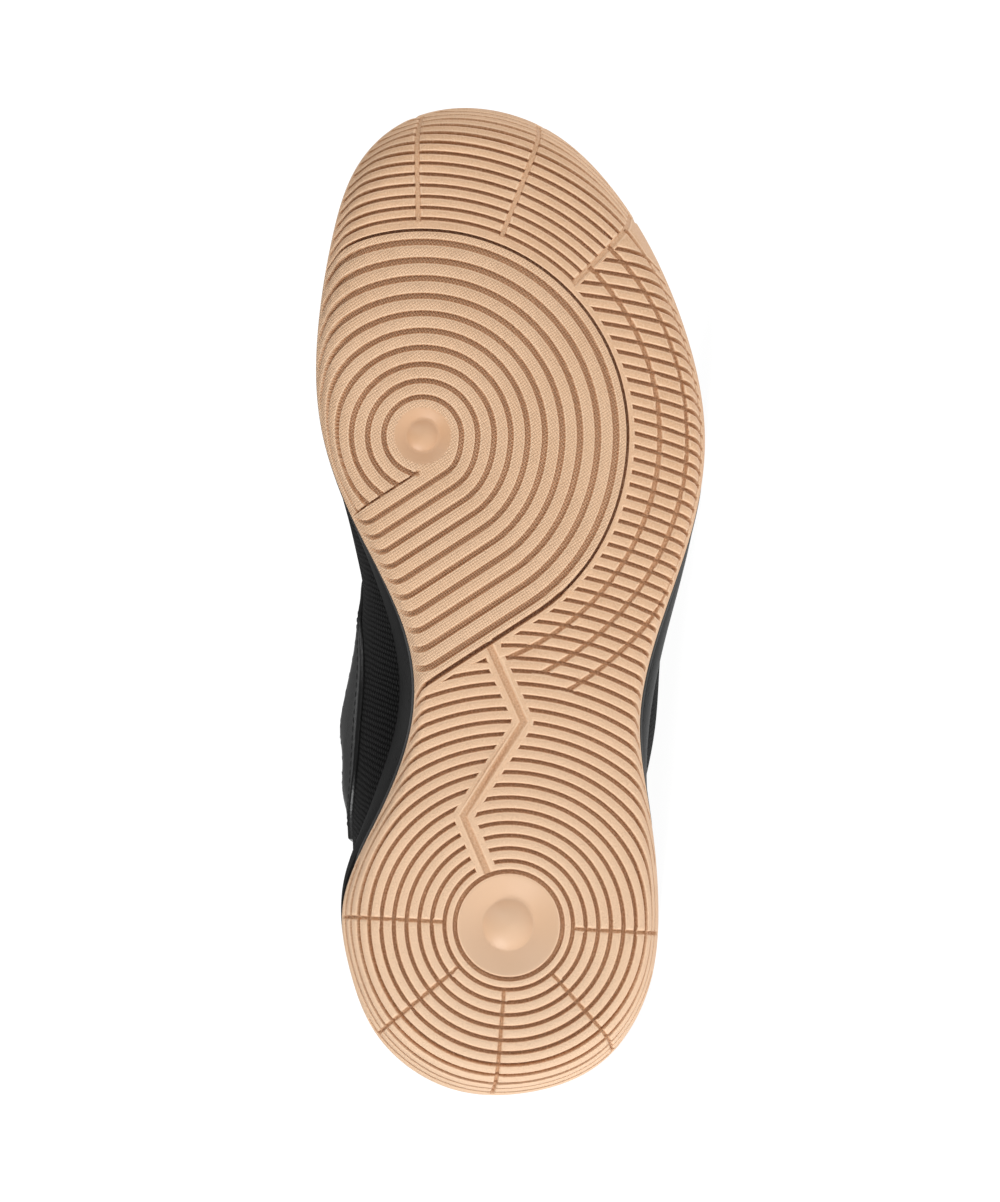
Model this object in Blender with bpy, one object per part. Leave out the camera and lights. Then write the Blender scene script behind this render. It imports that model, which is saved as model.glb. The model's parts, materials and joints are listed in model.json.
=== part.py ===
"""Left basketball shoe, mid cut, lying on its outer side.

A gum cup outsole with two pivot points carries a foam midsole. A hollow upper stands in the midsole's
rim, with an eyestay, a heel counter, a tongue, an insole and a crossed lace.

Lengths are millimetres until a mesh is made. The shoe's own frame has x from heel to toe, y towards the
outer (little toe) side and z from the ground up. An empty then lays the whole shoe on its outer side.
"""

import math
from collections import namedtuple

import bmesh
import bpy
import numpy as np
from mathutils import Matrix, Vector, geometry

MM = 0.001
FULL_TURN = 2 * math.pi

# Driving sizes of the whole shoe
LENGTH = 302.0
BALL_WIDTH = 118.0
COLLAR_HEIGHT = 122.0
GAP = 0.3
AROUND = 64

# Outsole
SOLE_THICK = 4.6
LIP_WALL = 2.2
CORNER_WALL = 3.0
LIP_LEAN = math.radians(72)
TOE_SPRING, TOE_SPRING_FROM = 9.0, 228.0
HEEL_BEVEL, HEEL_BEVEL_FROM = 2.0, 22.0
ARCH_LIFT = 2.6
ARCH_ENDS = (78.0, 108.0, 136.0, 170.0)
ARCH_INNER, ARCH_OUTER = -30.0, 45.0

# Tread: two pivots with rings round them
PIVOT = np.array((201.5, -27.0))
HEEL_PIVOT = np.array((52.2, -0.7))
GROOVE_DRAFT = 0.35
PIVOT_RINGS, PIVOT_RING_FIRST, PIVOT_RING_PITCH, PIVOT_RING_GROWTH = 10, 11.9, 4.95, 0.076
PIVOT_GROOVE, PIVOT_GROOVE_DEPTH = 1.9, 1.9
PAD_RADIUS, PAD_SLIT, PAD_SLIT_DEPTH = 62.8, 1.0, 2.6
TAIL_TURN, TAIL_FROM, TAIL_SWELL = math.radians(-57), math.radians(-5), 1.4
TAIL_EDGE, TAIL_EDGE_GROOVE, TAIL_LENGTH = 8.5, 1.0, 85.0
HEEL_RINGS, HEEL_RING_FIRST, HEEL_RING_PITCH = 7, 19.7, 3.87
HEEL_GROOVE, HEEL_GROOVE_DEPTH = 1.25, 1.7
HEEL_DISC, HEEL_DISC_GROOVE = 16.4, 1.2
HEEL_DIMPLE, HEEL_DIMPLE_DEPTH = 7.6, 1.3
PIVOT_DIMPLE, PIVOT_DIMPLE_DEPTH = 6.6, 1.0
HEEL_RAYS = (177.0, 220.0, 266.0, 312.0, 357.0)
TOE_RAYS, TOE_RAY_GROOVE, TOE_RAY_DEPTH = (45.3, 68.3, 91.0), 1.5, 1.3
EDGE_ROWS, EDGE_ROW_GROOVE, EDGE_ROW_DEPTH = (72.6, 81.0, 89.4), 1.4, 1.3
FLEX_GROOVE, FLEX_DEPTH, FLEX_RIM = 2.3, 1.5, 1.7
FLEX_LINE = ((139.0, -7.2), (114.3, 4.0), (85.6, -14.6), (67.0, -6.6))
CHORD_ERROR = 0.5
TREAD_MARGIN = 1.2
INTERIOR_GRID = 18.0
WELD = 0.01

# Midsole, insole and upper
RIM_WALL = 3.2
RIM_ROUND = 1.0
STEP_INSET = 0.4
UPPER_WALL = 2.4
COLLAR_PAD = 4.2
UPPER_ROWS = (-1.0, 0.0, 0.11, 0.22, 0.34, 0.46, 0.58, 0.70, 0.82, 0.92, 1.0)
RIM_CLEAR = 0.5
INSOLE_THICK = 4.0
INSOLE_CLEAR = 0.5
OVERLAY_GAP = 0.5
EYESTAY_THICK = 1.2
EYESTAY_END, EYESTAY_TOP = 0.26, 0.975
COUNTER_THICK = 1.3
COUNTER_END, COUNTER_LOW, COUNTER_HIGH = 0.19, 0.06, 0.46

# Lace
EYELETS, EYELET_FIRST, EYELET_PITCH, EYELET_ROW = 6, 0.405, 0.055, 0.88
LACE_WIDTH, LACE_THICK, LACE_CROSS_LIFT = 6.0, 1.4, 1.2
LACE_POINTS, LACE_REACH, LACE_DRIFT, LACE_END_LIFT, LACE_CLEAR = 5, 0.2, 0.18, 0.5, 0.9

Section = namedtuple("Section", "along sole_in sole_out rim_in rim_out edge_in edge_out lip")
# along is a share of the length; the widths are hundredths of the ball width from the middle line to the
# inner and the outer side; edge is the radius of the tread's edge, and lip how far the rubber wraps up.
SECTIONS = (
    Section(0.020, 22.4, 19.3, 17.5, 14.6, 12.0, 11.5, 15.0),
    Section(0.066, 34.8, 31.7, 29.5, 27.8, 12.0, 10.0, 14.5),
    Section(0.132, 41.4, 38.0, 36.1, 34.6, 11.0, 7.5, 13.0),
    Section(0.200, 42.7, 38.9, 37.6, 35.7, 9.5, 6.5, 11.5),
    Section(0.288, 33.3, 36.5, 34.2, 36.2, 5.0, 5.0, 8.0),
    Section(0.377, 25.3, 33.8, 27.8, 37.4, 2.5, 3.0, 6.0),
    Section(0.464, 26.6, 38.1, 29.0, 41.6, 2.5, 3.0, 6.0),
    Section(0.576, 39.7, 47.7, 38.7, 48.2, 5.0, 4.0, 8.5),
    Section(0.666, 48.1, 51.0, 45.3, 48.6, 8.0, 5.5, 11.0),
    Section(0.775, 49.4, 45.9, 46.4, 43.0, 9.0, 6.5, 12.0),
    Section(0.864, 45.8, 36.3, 43.0, 33.4, 9.5, 8.0, 13.0),
    Section(0.930, 40.4, 24.9, 37.3, 22.4, 10.5, 10.0, 14.0),
    Section(0.977, 30.2, 11.1, 27.1, 9.3, 12.0, 12.0, 15.0),
)
End = namedtuple("End", "sole_x sole_y rim_x rim_y edge lip")
HEEL_END = End(0.0, -3.6, 5.0, -3.0, 12.0, 15.0)
TOE_END = End(LENGTH, -12.5, LENGTH - 4.5, -11.8, 13.0, 15.5)

Level = namedtuple("Level", "along bed rim")
# Heights of the foot bed and of the midsole's rim, in hundredths of the collar height
LEVELS = (
    Level(0.00, 20.5, 31.5),
    Level(0.20, 19.7, 29.0),
    Level(0.38, 17.4, 26.5),
    Level(0.58, 14.2, 23.8),
    Level(0.67, 13.3, 23.0),
    Level(0.78, 13.8, 23.2),
    Level(0.87, 16.0, 25.0),
    Level(0.94, 18.6, 27.6),
    Level(1.00, 21.0, 30.0),
)

Wall = namedtuple(
    "Wall",
    "along belly_x belly_in belly_out belly_z shoulder_x shoulder_in shoulder_out shoulder_z "
    "top_x top_in top_out top_z eyestay_in eyestay_out",
)
# The upper's section curve at each station: it leaves the rim towards the belly, turns in past the shoulder
# and ends at the topline. The eyestay columns are where its lower edge lies on that curve.
WALLS = (
    Wall(0.066, 16.0, 37.5, 33.0, 60.0, 21.0, 25.0, 23.5, 92.0, 20.5, 20.0, 18.0, 119.0, 0.80, 0.80),
    Wall(0.132, 38.0, 46.5, 40.5, 57.0, 40.0, 34.0, 32.0, 90.0, 34.0, 28.5, 26.5, 114.5, 0.80, 0.80),
    Wall(0.200, 60.0, 50.0, 42.5, 54.0, 60.0, 39.0, 36.0, 88.0, 51.0, 32.5, 30.5, 111.0, 0.70, 0.80),
    Wall(0.288, 87.0, 51.5, 48.0, 50.0, 85.0, 44.0, 41.5, 89.0, 76.0, 33.5, 32.0, 113.0, 0.32, 0.74),
    Wall(0.377, 114.0, 55.2, 55.0, 46.0, 110.0, 50.0, 49.5, 92.0, 101.0, 28.0, 26.5, 120.5, 0.24, 0.70),
    Wall(0.464, 141.0, 50.4, 56.0, 42.0, 137.0, 44.5, 46.0, 84.0, 129.0, 20.5, 19.5, 103.0, 0.32, 0.68),
    Wall(0.576, 175.0, 52.8, 60.0, 40.0, 169.0, 42.0, 43.0, 76.5, 161.0, 16.0, 15.0, 85.5, 0.66, 0.68),
    Wall(0.666, 203.0, 63.0, 63.5, 41.5, 196.0, 41.0, 43.0, 71.5, 186.0, 13.5, 11.5, 75.0, 0.68, 0.68),
    Wall(0.775, 237.0, 63.0, 57.5, 45.0, 221.0, 37.0, 36.0, 69.0, 202.0, 10.0, 6.5, 70.5, 0.70, 0.70),
    Wall(0.864, 267.0, 57.5, 45.0, 48.5, 240.0, 28.5, 23.0, 68.0, 207.5, 7.0, 2.5, 69.0, 0.72, 0.72),
    Wall(0.930, 288.0, 48.5, 28.5, 51.0, 252.0, 20.5, 10.5, 67.5, 209.5, 4.5, -0.5, 68.4, 0.74, 0.74),
)
WallEnd = namedtuple("WallEnd", "belly shoulder top eyestay")
WALL_HEEL = WallEnd((-1.0, -4.0, 62.0), (14.0, -2.5, 94.0), (13.0, -1.5, COLLAR_HEIGHT), 0.80)
WALL_TOE = WallEnd((305.0, -13.5, 52.5), (259.0, -8.5, 67.5), (210.5, -2.2, 68.2), 0.76)

Tongue = namedtuple("Tongue", "x crown middle half drop thick")
TONGUE = (
    Tongue(219.0, 61.9, -3.0, 11.0, 1.5, 2.4),
    Tongue(203.0, 66.8, -2.4, 17.0, 3.0, 3.0),
    Tongue(186.0, 73.2, -1.6, 22.0, 4.5, 4.0),
    Tongue(161.0, 84.0, -0.8, 25.0, 9.0, 5.0),
    Tongue(129.0, 103.0, -0.6, 27.0, 15.0, 5.5),
    Tongue(101.0, 121.5, -0.6, 25.0, 13.0, 6.0),
    Tongue(86.0, 138.0, -0.6, 23.5, 9.0, 5.5),
)
TONGUE_ACROSS = 10


# Curves and tables

def smooth_step(value, low, high):
    share = np.clip((np.asarray(value, float) - low) / (high - low), 0, 1)
    return share * share * (3 - 2 * share)


def periodic_spline(knots, values):
    """A smooth closed curve of angle through the values at the knots, which ascend from 0 to a full turn."""
    knots, values = np.asarray(knots, float), np.asarray(values, float)
    count = len(knots)
    step = np.diff(np.append(knots, knots[0] + FULL_TURN))
    slope = np.diff(np.append(values, values[0])) / step
    before, after = np.roll(step, 1), step
    system = np.zeros((count, count))
    for i in range(count):
        system[i, i - 1] += after[i]
        system[i, i] += 2 * (before[i] + after[i])
        system[i, (i + 1) % count] += before[i]
    tangent = np.linalg.solve(system, 3 * (after * np.roll(slope, 1) + before * slope))

    def curve(angle):
        angle = np.mod(np.asarray(angle, float), FULL_TURN)
        i = np.clip(np.searchsorted(knots, angle, side="right") - 1, 0, count - 1)
        j = (i + 1) % count
        share = (angle - knots[i]) / step[i]
        rest = 1 - share
        ends = rest**2 * (1 + 2 * share) * values[i] + share**2 * (3 - 2 * share) * values[j]
        return ends + step[i] * share * rest * (rest * tangent[i] - share * tangent[j])

    return curve


def station_angle(along):
    """Angle round the shoe of a station on the outer side: 0 is the toe and a half turn the heel."""
    return math.acos(2 * along - 1)


def round_column(rows, inner, outer, toe, heel):
    """A column of a table as a closed curve: toe, outer side, heel, inner side."""
    outer_rows = sorted(rows, key=lambda row: -row.along)
    knots = [0.0] + [station_angle(row.along) for row in outer_rows] + [math.pi]
    knots += [FULL_TURN - station_angle(row.along) for row in reversed(outer_rows)]
    values = [toe] + [outer(row) for row in outer_rows] + [heel]
    values += [inner(row) for row in reversed(outer_rows)]
    return periodic_spline(knots, values)


def width(share):
    return share * BALL_WIDTH / 100


def plan_curve(name):
    """The y of the sole's or the rim's outline, by angle."""
    return round_column(
        SECTIONS,
        lambda row: -width(getattr(row, name + "_in")),
        lambda row: width(getattr(row, name + "_out")),
        getattr(TOE_END, name + "_y"),
        getattr(HEEL_END, name + "_y"),
    )


SOLE_Y, RIM_Y = plan_curve("sole"), plan_curve("rim")
EDGE = round_column(SECTIONS, lambda r: r.edge_in, lambda r: r.edge_out, TOE_END.edge, HEEL_END.edge)
LIP = round_column(SECTIONS, lambda r: r.lip, lambda r: r.lip, TOE_END.lip, HEEL_END.lip)


def outline(name, angle):
    """Plan points of the sole's or the rim's outline."""
    toe, heel = getattr(TOE_END, name + "_x"), getattr(HEEL_END, name + "_x")
    x = (toe + heel) / 2 + (toe - heel) / 2 * np.cos(angle)
    return np.stack([x, (SOLE_Y if name == "sole" else RIM_Y)(angle)], axis=-1)


def outward(points):
    """Unit plan normals of a closed loop of points, pointing out."""
    along = np.roll(points, -1, axis=0) - np.roll(points, 1, axis=0)
    normal = np.stack([along[:, 1], -along[:, 0]], axis=-1)
    normal /= np.linalg.norm(normal, axis=1, keepdims=True)
    middle = points - points.mean(axis=0)
    return normal if (normal * middle).sum() > 0 else -normal


def level(name, x):
    share = np.asarray(x, float) / LENGTH
    heights = [getattr(row, name) * COLLAR_HEIGHT / 100 for row in LEVELS]
    knots = [row.along for row in LEVELS]
    near = [np.interp(np.clip(share + d, 0, 1), knots, heights) for d in (-0.04, -0.02, 0, 0.02, 0.04)]
    return sum(near) / len(near)


def ground(points):
    """Height of the tread's face over the ground plane: toe spring, heel bevel and arch."""
    x, y = points[..., 0], points[..., 1]
    toe = TOE_SPRING * (np.clip(x - TOE_SPRING_FROM, 0, None) / (LENGTH - TOE_SPRING_FROM)) ** 2
    heel = HEEL_BEVEL * (np.clip(HEEL_BEVEL_FROM - x, 0, None) / HEEL_BEVEL_FROM) ** 2
    arch = smooth_step(x, ARCH_ENDS[0], ARCH_ENDS[1]) * (1 - smooth_step(x, ARCH_ENDS[2], ARCH_ENDS[3]))
    return toe + heel + ARCH_LIFT * arch * (1 - smooth_step(y, ARCH_INNER, ARCH_OUTER))


# The wrapped edge of the outsole

def edge_reach(radius, run):
    """How far out and up a run along the edge's section comes: an arc, then the leaning lip."""
    turned = np.minimum(run / radius, LIP_LEAN)
    rest = np.maximum(run - radius * LIP_LEAN, 0)
    out = radius * np.sin(turned) + rest * math.cos(LIP_LEAN)
    up = radius * (1 - np.cos(turned)) + rest * math.sin(LIP_LEAN)
    return out, up, turned


def out_at_height(radius, height):
    """How far out the edge's section lies at a height over the tread."""
    arc_top = radius * (1 - math.cos(LIP_LEAN))
    on_arc = radius * np.sin(np.arccos(np.clip(1 - height / radius, math.cos(LIP_LEAN), 1)))
    return on_arc + np.maximum(height - arc_top, 0) / math.tan(LIP_LEAN)


class SoleEdge:
    """The tread's flat border and, for each angle, the section of the edge that wraps up from it."""

    def __init__(self, count):
        self.angle = np.arange(count) * FULL_TURN / count
        self.outline = outline("sole", self.angle)
        self.normal = outward(self.outline)
        self.radius, self.lip = EDGE(self.angle), LIP(self.angle)
        self.full_out = out_at_height(self.radius, self.lip)
        arc_up = self.radius * (1 - math.cos(LIP_LEAN))
        self.run = self.radius * LIP_LEAN + (self.lip - arc_up) / math.sin(LIP_LEAN)
        self.border = self.outline - self.normal * self.full_out[:, None]

    def ring(self, out, up):
        """A loop of points at a distance out from the border and up from the tread."""
        plan = self.border + self.normal * np.broadcast_to(out, self.radius.shape)[:, None]
        return np.column_stack([plan, ground(self.border) + up])

    def floor(self, out, up):
        """The same, but up from the tread's own face carried on to where the points lie."""
        points = self.ring(out, up)
        points[:, 2] = ground(points) + up
        return points


EDGE_LOOP = SoleEdge(AROUND)
FINE_EDGE = SoleEdge(AROUND * 8)


def unrolled_rim():
    """The tread's outline once its wrapped edge is rolled out flat."""
    return EDGE_LOOP.border + EDGE_LOOP.normal * EDGE_LOOP.run[:, None]


def wrap(points, depth):
    """Places points of the rolled-out tread on the sole, sunk by depth along the surface's normal."""
    offset = points[:, None, :] - FINE_EDGE.border[None, :, :]
    near = np.argmin((offset**2).sum(axis=2), axis=1)
    normal, radius = FINE_EDGE.normal[near], FINE_EDGE.radius[near]
    run = (offset[np.arange(len(points)), near] * normal).sum(axis=1)
    outside = run > 0
    out, up, turned = edge_reach(radius, np.where(outside, run, 0))
    foot = np.where(outside[:, None], points - normal * run[:, None], points)
    plan = foot + normal * (out - np.sin(turned) * depth)[:, None]
    return np.column_stack([plan, ground(foot) + up + np.cos(turned) * depth])


# Tread grooves, as closed shapes in the rolled-out plan

Groove = namedtuple("Groove", "top floor depth")


def polar(centre, radius, turn):
    """Plan points round a pivot; the turn is 0 towards the outer side and a quarter towards the toe."""
    return np.stack([centre[0] + radius * np.sin(turn), centre[1] + radius * np.cos(turn)], axis=-1)


def counter_clockwise(points):
    x, y = points[:, 0], points[:, 1]
    area = (x * np.roll(y, -1) - np.roll(x, -1) * y).sum()
    return points if area > 0 else points[::-1]


def inside(points, polygon):
    """Which points lie in a polygon, by crossings."""
    found = np.zeros(len(points), bool)
    for a, b in zip(polygon, np.roll(polygon, -1, axis=0)):
        spans = (a[1] > points[:, 1]) != (b[1] > points[:, 1])
        if spans.any():
            cross = a[0] + (points[:, 1] - a[1]) * (b[0] - a[0]) / (b[1] - a[1] if b[1] != a[1] else 1)
            found ^= spans & (points[:, 0] < cross)
    return found


def distance_to_line(points, line):
    """Distance from points to a polyline."""
    best = np.full(len(points), np.inf)
    for a, b in zip(line[:-1], line[1:]):
        along = np.subtract(b, a)
        share = np.clip(((points - a) @ along) / (along @ along), 0, 1)
        best = np.minimum(best, np.linalg.norm(points - a - share[:, None] * along, axis=1))
    return best


RIM_PLAN = FINE_EDGE.border + FINE_EDGE.normal * FINE_EDGE.run[:, None]


def rim_clearance(points):
    """Distance from points to the rolled-out outline: positive inside."""
    distance = np.full(len(points), np.inf)
    for block in np.array_split(RIM_PLAN, 8):
        gap = np.linalg.norm(points[:, None, :] - block[None, :, :], axis=2).min(axis=1)
        distance = np.minimum(distance, gap)
    return np.where(inside(points, RIM_PLAN), distance, -distance)


def chord_points(points, error):
    """Indices of the points that keep a polyline's shape within an error, ends included."""
    kept, first = [0], 0
    while first < len(points) - 1:
        last = first + 1
        while last + 1 < len(points):
            chord = points[last + 1] - points[first]
            between = points[first + 1:last + 1] - points[first]
            share = (between @ chord) / (chord @ chord)
            if np.linalg.norm(between - np.outer(share, chord), axis=1).max() > error:
                break
            last += 1
        kept.append(last)
        first = last
    return kept


def runs_of(flags):
    """First and last index of each run of true flags."""
    edges = np.flatnonzero(np.diff(np.concatenate([[0], flags.astype(int), [0]])))
    return list(zip(edges[::2], edges[1::2] - 1))


def grooves_along(path, allowed, half, depth, samples=160):
    """Grooves on the stretches of a path that are allowed.

    path(share, side) gives the points at a sideways offset; allowed(points) is a clearance, positive inside.
    """
    share = np.linspace(0, 1, samples)
    middle = path(share, 0.0)
    length = np.linalg.norm(np.diff(middle, axis=0), axis=1).sum()
    found = []
    for first, last in runs_of(allowed(middle) > 0):
        if last - first < 2:
            continue
        kept = chord_points(wrap(middle[first:last + 1], 0.0), CHORD_ERROR)
        row = share[first:last + 1][kept]
        shapes = []
        for inset in (0.0, GROOVE_DRAFT):
            trim = inset / length * np.linspace(1, -1, len(row))
            shape = np.concatenate([path(row + trim, half - inset), path((row + trim)[::-1], inset - half)])
            shapes.append(counter_clockwise(shape))
        found.append(Groove(shapes[0], shapes[1], depth))
    return found


def straight(start, end):
    """A straight path with sideways offset."""
    start, end = np.asarray(start, float), np.asarray(end, float)
    along = (end - start) / np.linalg.norm(end - start)
    side = np.array((-along[1], along[0]))
    return lambda share, offset: start + np.outer(share, end - start) + side * offset


def arc(centre, radius, first, last):
    """A circular path about a pivot, with its offset along the radius."""
    return lambda share, offset: polar(centre, radius + offset, first + (last - first) * share)


def mitred(line):
    """A path along a polyline whose offset keeps its corners sharp."""
    line = np.asarray(line, float)
    steps = np.diff(line, axis=0)
    steps /= np.linalg.norm(steps, axis=1, keepdims=True)
    sides = np.column_stack([-steps[:, 1], steps[:, 0]])
    corner = [sides[0]]
    for a, b in zip(sides[:-1], sides[1:]):
        corner.append((a + b) / (1 + a @ b))
    corner = np.array(corner + [sides[-1]])
    return lambda offset: line + corner * offset


def pad_ring(radius):
    """A ring of the pivot pad: from the inner side over the toe to the outer side, then off in a tail."""
    first = FULL_TURN + TAIL_TURN - math.acos(TAIL_EDGE / radius)
    arc_share = radius * (first - TAIL_TURN) / (radius * (first - TAIL_TURN) + TAIL_LENGTH)
    away = np.array((-math.cos(TAIL_TURN), math.sin(TAIL_TURN)))

    def path(share, offset):
        turn = first + (TAIL_TURN - first) * np.minimum(share / arc_share, 1)
        swell = TAIL_SWELL * (1 - smooth_step(turn, TAIL_TURN, TAIL_FROM))
        tail = TAIL_LENGTH * np.maximum(share - arc_share, 0) / (1 - arc_share)
        return polar(PIVOT, radius + offset + swell, turn) + np.outer(tail, away)

    return path


def pad_tail_edge():
    """The cut that the inner rings end on, between them and the middle's tail."""
    across = np.array((math.sin(TAIL_TURN), math.cos(TAIL_TURN)))
    along = np.array((-math.cos(TAIL_TURN), math.sin(TAIL_TURN)))
    start = PIVOT + across * TAIL_EDGE + along * TAIL_EDGE
    return straight(start, start + along * TAIL_LENGTH)


def on_tread(points):
    return rim_clearance(points) - TREAD_MARGIN


def beside_flex(points):
    """Clearance on the tread, off the flex groove and its rims."""
    flex = distance_to_line(points, np.array(FLEX_LINE)) - FLEX_GROOVE / 2 - FLEX_RIM
    return np.minimum(on_tread(points), flex)


def heel_ring(radius):
    """A ring round the heel pivot that starts where the flex groove crosses it."""
    turn = np.linspace(0, math.pi, 181)
    start = turn[np.argmin(distance_to_line(polar(HEEL_PIVOT, radius, turn), np.array(FLEX_LINE)))]
    return arc(HEEL_PIVOT, radius, start, start + FULL_TURN)


def dimple(centre, radius, depth):
    turn = np.arange(16) * FULL_TURN / 16
    return Groove(polar(centre, radius, -turn), polar(centre, radius * 0.4, -turn), depth)


def main_grooves():
    """The tread's main lugs: pads, rings, rays and the flex groove."""
    grooves = [dimple(HEEL_PIVOT, HEEL_DIMPLE, HEEL_DIMPLE_DEPTH)]
    grooves.append(dimple(PIVOT, PIVOT_DIMPLE, PIVOT_DIMPLE_DEPTH))
    grooves += grooves_along(pad_ring(PAD_RADIUS), on_tread, PAD_SLIT / 2, PAD_SLIT_DEPTH)
    for i in range(PIVOT_RINGS):
        radius = PIVOT_RING_FIRST + PIVOT_RING_PITCH * i + PIVOT_RING_GROWTH * i * (i - 1) / 2
        grooves += grooves_along(pad_ring(radius), on_tread, PIVOT_GROOVE / 2, PIVOT_GROOVE_DEPTH)
    grooves += grooves_along(pad_tail_edge(), on_tread, TAIL_EDGE_GROOVE / 2, PIVOT_GROOVE_DEPTH)
    grooves += grooves_along(heel_ring(HEEL_DISC), on_tread, HEEL_DISC_GROOVE / 2, HEEL_GROOVE_DEPTH)
    for i in range(HEEL_RINGS):
        ring = heel_ring(HEEL_RING_FIRST + HEEL_RING_PITCH * i)
        grooves += grooves_along(ring, beside_flex, HEEL_GROOVE / 2, HEEL_GROOVE_DEPTH)
    for degrees in HEEL_RAYS:
        ends = polar(HEEL_PIVOT, np.array((HEEL_RING_FIRST, LENGTH / 3)), math.radians(degrees))
        grooves += grooves_along(straight(*ends), on_tread, HEEL_GROOVE / 2, HEEL_GROOVE_DEPTH)
    for degrees in TOE_RAYS:
        ends = polar(PIVOT, np.array((PAD_RADIUS + 3, LENGTH / 2)), math.radians(degrees))
        grooves += grooves_along(straight(*ends), on_tread, TOE_RAY_GROOVE / 2, TOE_RAY_DEPTH)
    for radius in EDGE_ROWS:
        row = arc(PIVOT, radius, math.radians(TOE_RAYS[0] - 2), math.radians(-48))
        grooves += grooves_along(row, on_tread, EDGE_ROW_GROOVE / 2, EDGE_ROW_DEPTH)
    flex = mitred(FLEX_LINE)
    shapes = []
    for half in (FLEX_GROOVE / 2, FLEX_GROOVE / 2 - GROOVE_DRAFT):
        shapes.append(counter_clockwise(np.concatenate([flex(half), flex(-half)[::-1]])))
    grooves.append(Groove(shapes[0], shapes[1], FLEX_DEPTH))
    return grooves


# Meshes

class Solid:
    """Gathers loops of points and the faces between them, then makes one closed object."""

    def __init__(self, name):
        self.name, self.points, self.faces = name, [], []

    def loop(self, points):
        first = len(self.points)
        self.points.extend(np.asarray(points, float))
        return np.arange(first, first + len(points))

    def bridge(self, low, high, closed=True):
        """Faces between two rows of the same count."""
        count = len(low)
        for i in range(count if closed else count - 1):
            j = (i + 1) % count
            self.faces.append((low[i], low[j], high[j], high[i]))

    def fill(self, loop, height, spacing):
        """Closes a loop with a surface at height(plan), with inner points on a grid."""
        border = np.array([self.points[i][:2] for i in loop])
        low, high = border.min(axis=0), border.max(axis=0)
        axes = [np.arange(a + spacing / 2, b, spacing) for a, b in zip(low, high)]
        grid = np.stack(np.meshgrid(*axes), axis=-1).reshape(-1, 2)
        grid = grid[inside(grid, border)]
        near = np.linalg.norm(grid[:, None] - border[None], axis=2).min(axis=1) > spacing * 0.45
        grid = grid[near]
        plan = [Vector(p) for p in np.concatenate([border, grid])]
        sides = [(i, (i + 1) % len(loop)) for i in range(len(loop))]
        triangles = geometry.delaunay_2d_cdt(plan, sides, [], 1, 1e-6)[2]
        grid_index = self.loop(np.column_stack([grid, height(grid)])) if len(grid) else []
        index = list(loop) + list(grid_index)
        self.faces.extend(tuple(index[i] for i in triangle) for triangle in triangles)

    def build(self, material, parent):
        mesh = bpy.data.meshes.new(self.name)
        work = bmesh.new()
        corners = [work.verts.new(Vector(p) * MM) for p in self.points]
        for face in self.faces:
            if len(set(face)) > 2:
                work.faces.new([corners[i] for i in face])
        bmesh.ops.remove_doubles(work, verts=work.verts, dist=WELD * MM)
        loose = [corner for corner in work.verts if not corner.link_faces]
        bmesh.ops.delete(work, geom=loose, context="VERTS")
        bmesh.ops.triangulate(work, faces=work.faces)
        bmesh.ops.recalc_face_normals(work, faces=work.faces)
        work.to_mesh(mesh)
        work.free()
        mesh.materials.append(material)
        part = bpy.data.objects.new(self.name, mesh)
        part.parent = parent
        bpy.context.scene.collection.objects.link(part)
        return part


def make_material(name, colour, roughness):
    material = bpy.data.materials.new(name)
    material.use_nodes = True
    shader = material.node_tree.nodes["Principled BSDF"]
    shader.inputs["Base Color"].default_value = (*colour, 1)
    shader.inputs["Roughness"].default_value = roughness
    return material


# Sole unit

def tread_surface(solid):
    """The outsole's outer face with its grooves. Returns the loop at the top of the lip."""
    grooves = main_grooves()
    rim = unrolled_rim()
    plan, faces, levels = [*rim], [list(range(len(rim)))], [0.0]
    for groove in grooves:
        for shape, depth in ((groove.top, 0.0), (groove.floor, groove.depth)):
            faces.append(list(range(len(plan), len(plan) + len(shape))))
            levels.append(depth)
            plan.extend(shape)
    plan.extend(open_land_points(grooves))
    found = geometry.delaunay_2d_cdt([Vector(p) for p in plan], [], faces, 0, 1e-5)
    corners, triangles, from_corner, from_face = found[0], found[2], found[3], found[5]
    kept = [(t, max(levels[f] for f in source)) for t, source in zip(triangles, from_face) if 0 in source]
    depth = np.zeros(len(corners))
    for triangle, deep in kept:
        for i in triangle:
            depth[i] = max(depth[i], deep)
    index = solid.loop(wrap(np.array([tuple(c) for c in corners]), depth))
    solid.faces.extend(tuple(index[i] for i in triangle) for triangle, _ in kept)
    place = {source: i for i, sources in enumerate(from_corner) for source in sources if source < len(rim)}
    lip = np.array([index[place[i]] for i in range(len(rim))])
    for i, point in zip(lip, EDGE_LOOP.ring(EDGE_LOOP.full_out, EDGE_LOOP.lip)):
        solid.points[i] = point
    return lip


def open_land_points(grooves):
    """Points on the lands that let the tread follow its edge, the toe spring and the arch."""
    edge = EDGE_LOOP
    found = [edge.border + edge.normal * (edge.radius * LIP_LEAN * share)[:, None] for share in (0, 0.5, 1)]
    low, high = edge.border.min(axis=0), edge.border.max(axis=0)
    axes = [np.arange(a, b, INTERIOR_GRID) for a, b in zip(low, high)]
    found.append(np.stack(np.meshgrid(*axes), axis=-1).reshape(-1, 2))
    found = np.concatenate(found)
    clear = rim_clearance(found) > 0.8
    for groove in grooves:
        closed = np.concatenate([groove.top, groove.top[:1]])
        clear &= ~inside(found, groove.top)
        clear &= distance_to_line(found, closed) > 0.6
    return found[clear]


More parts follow.
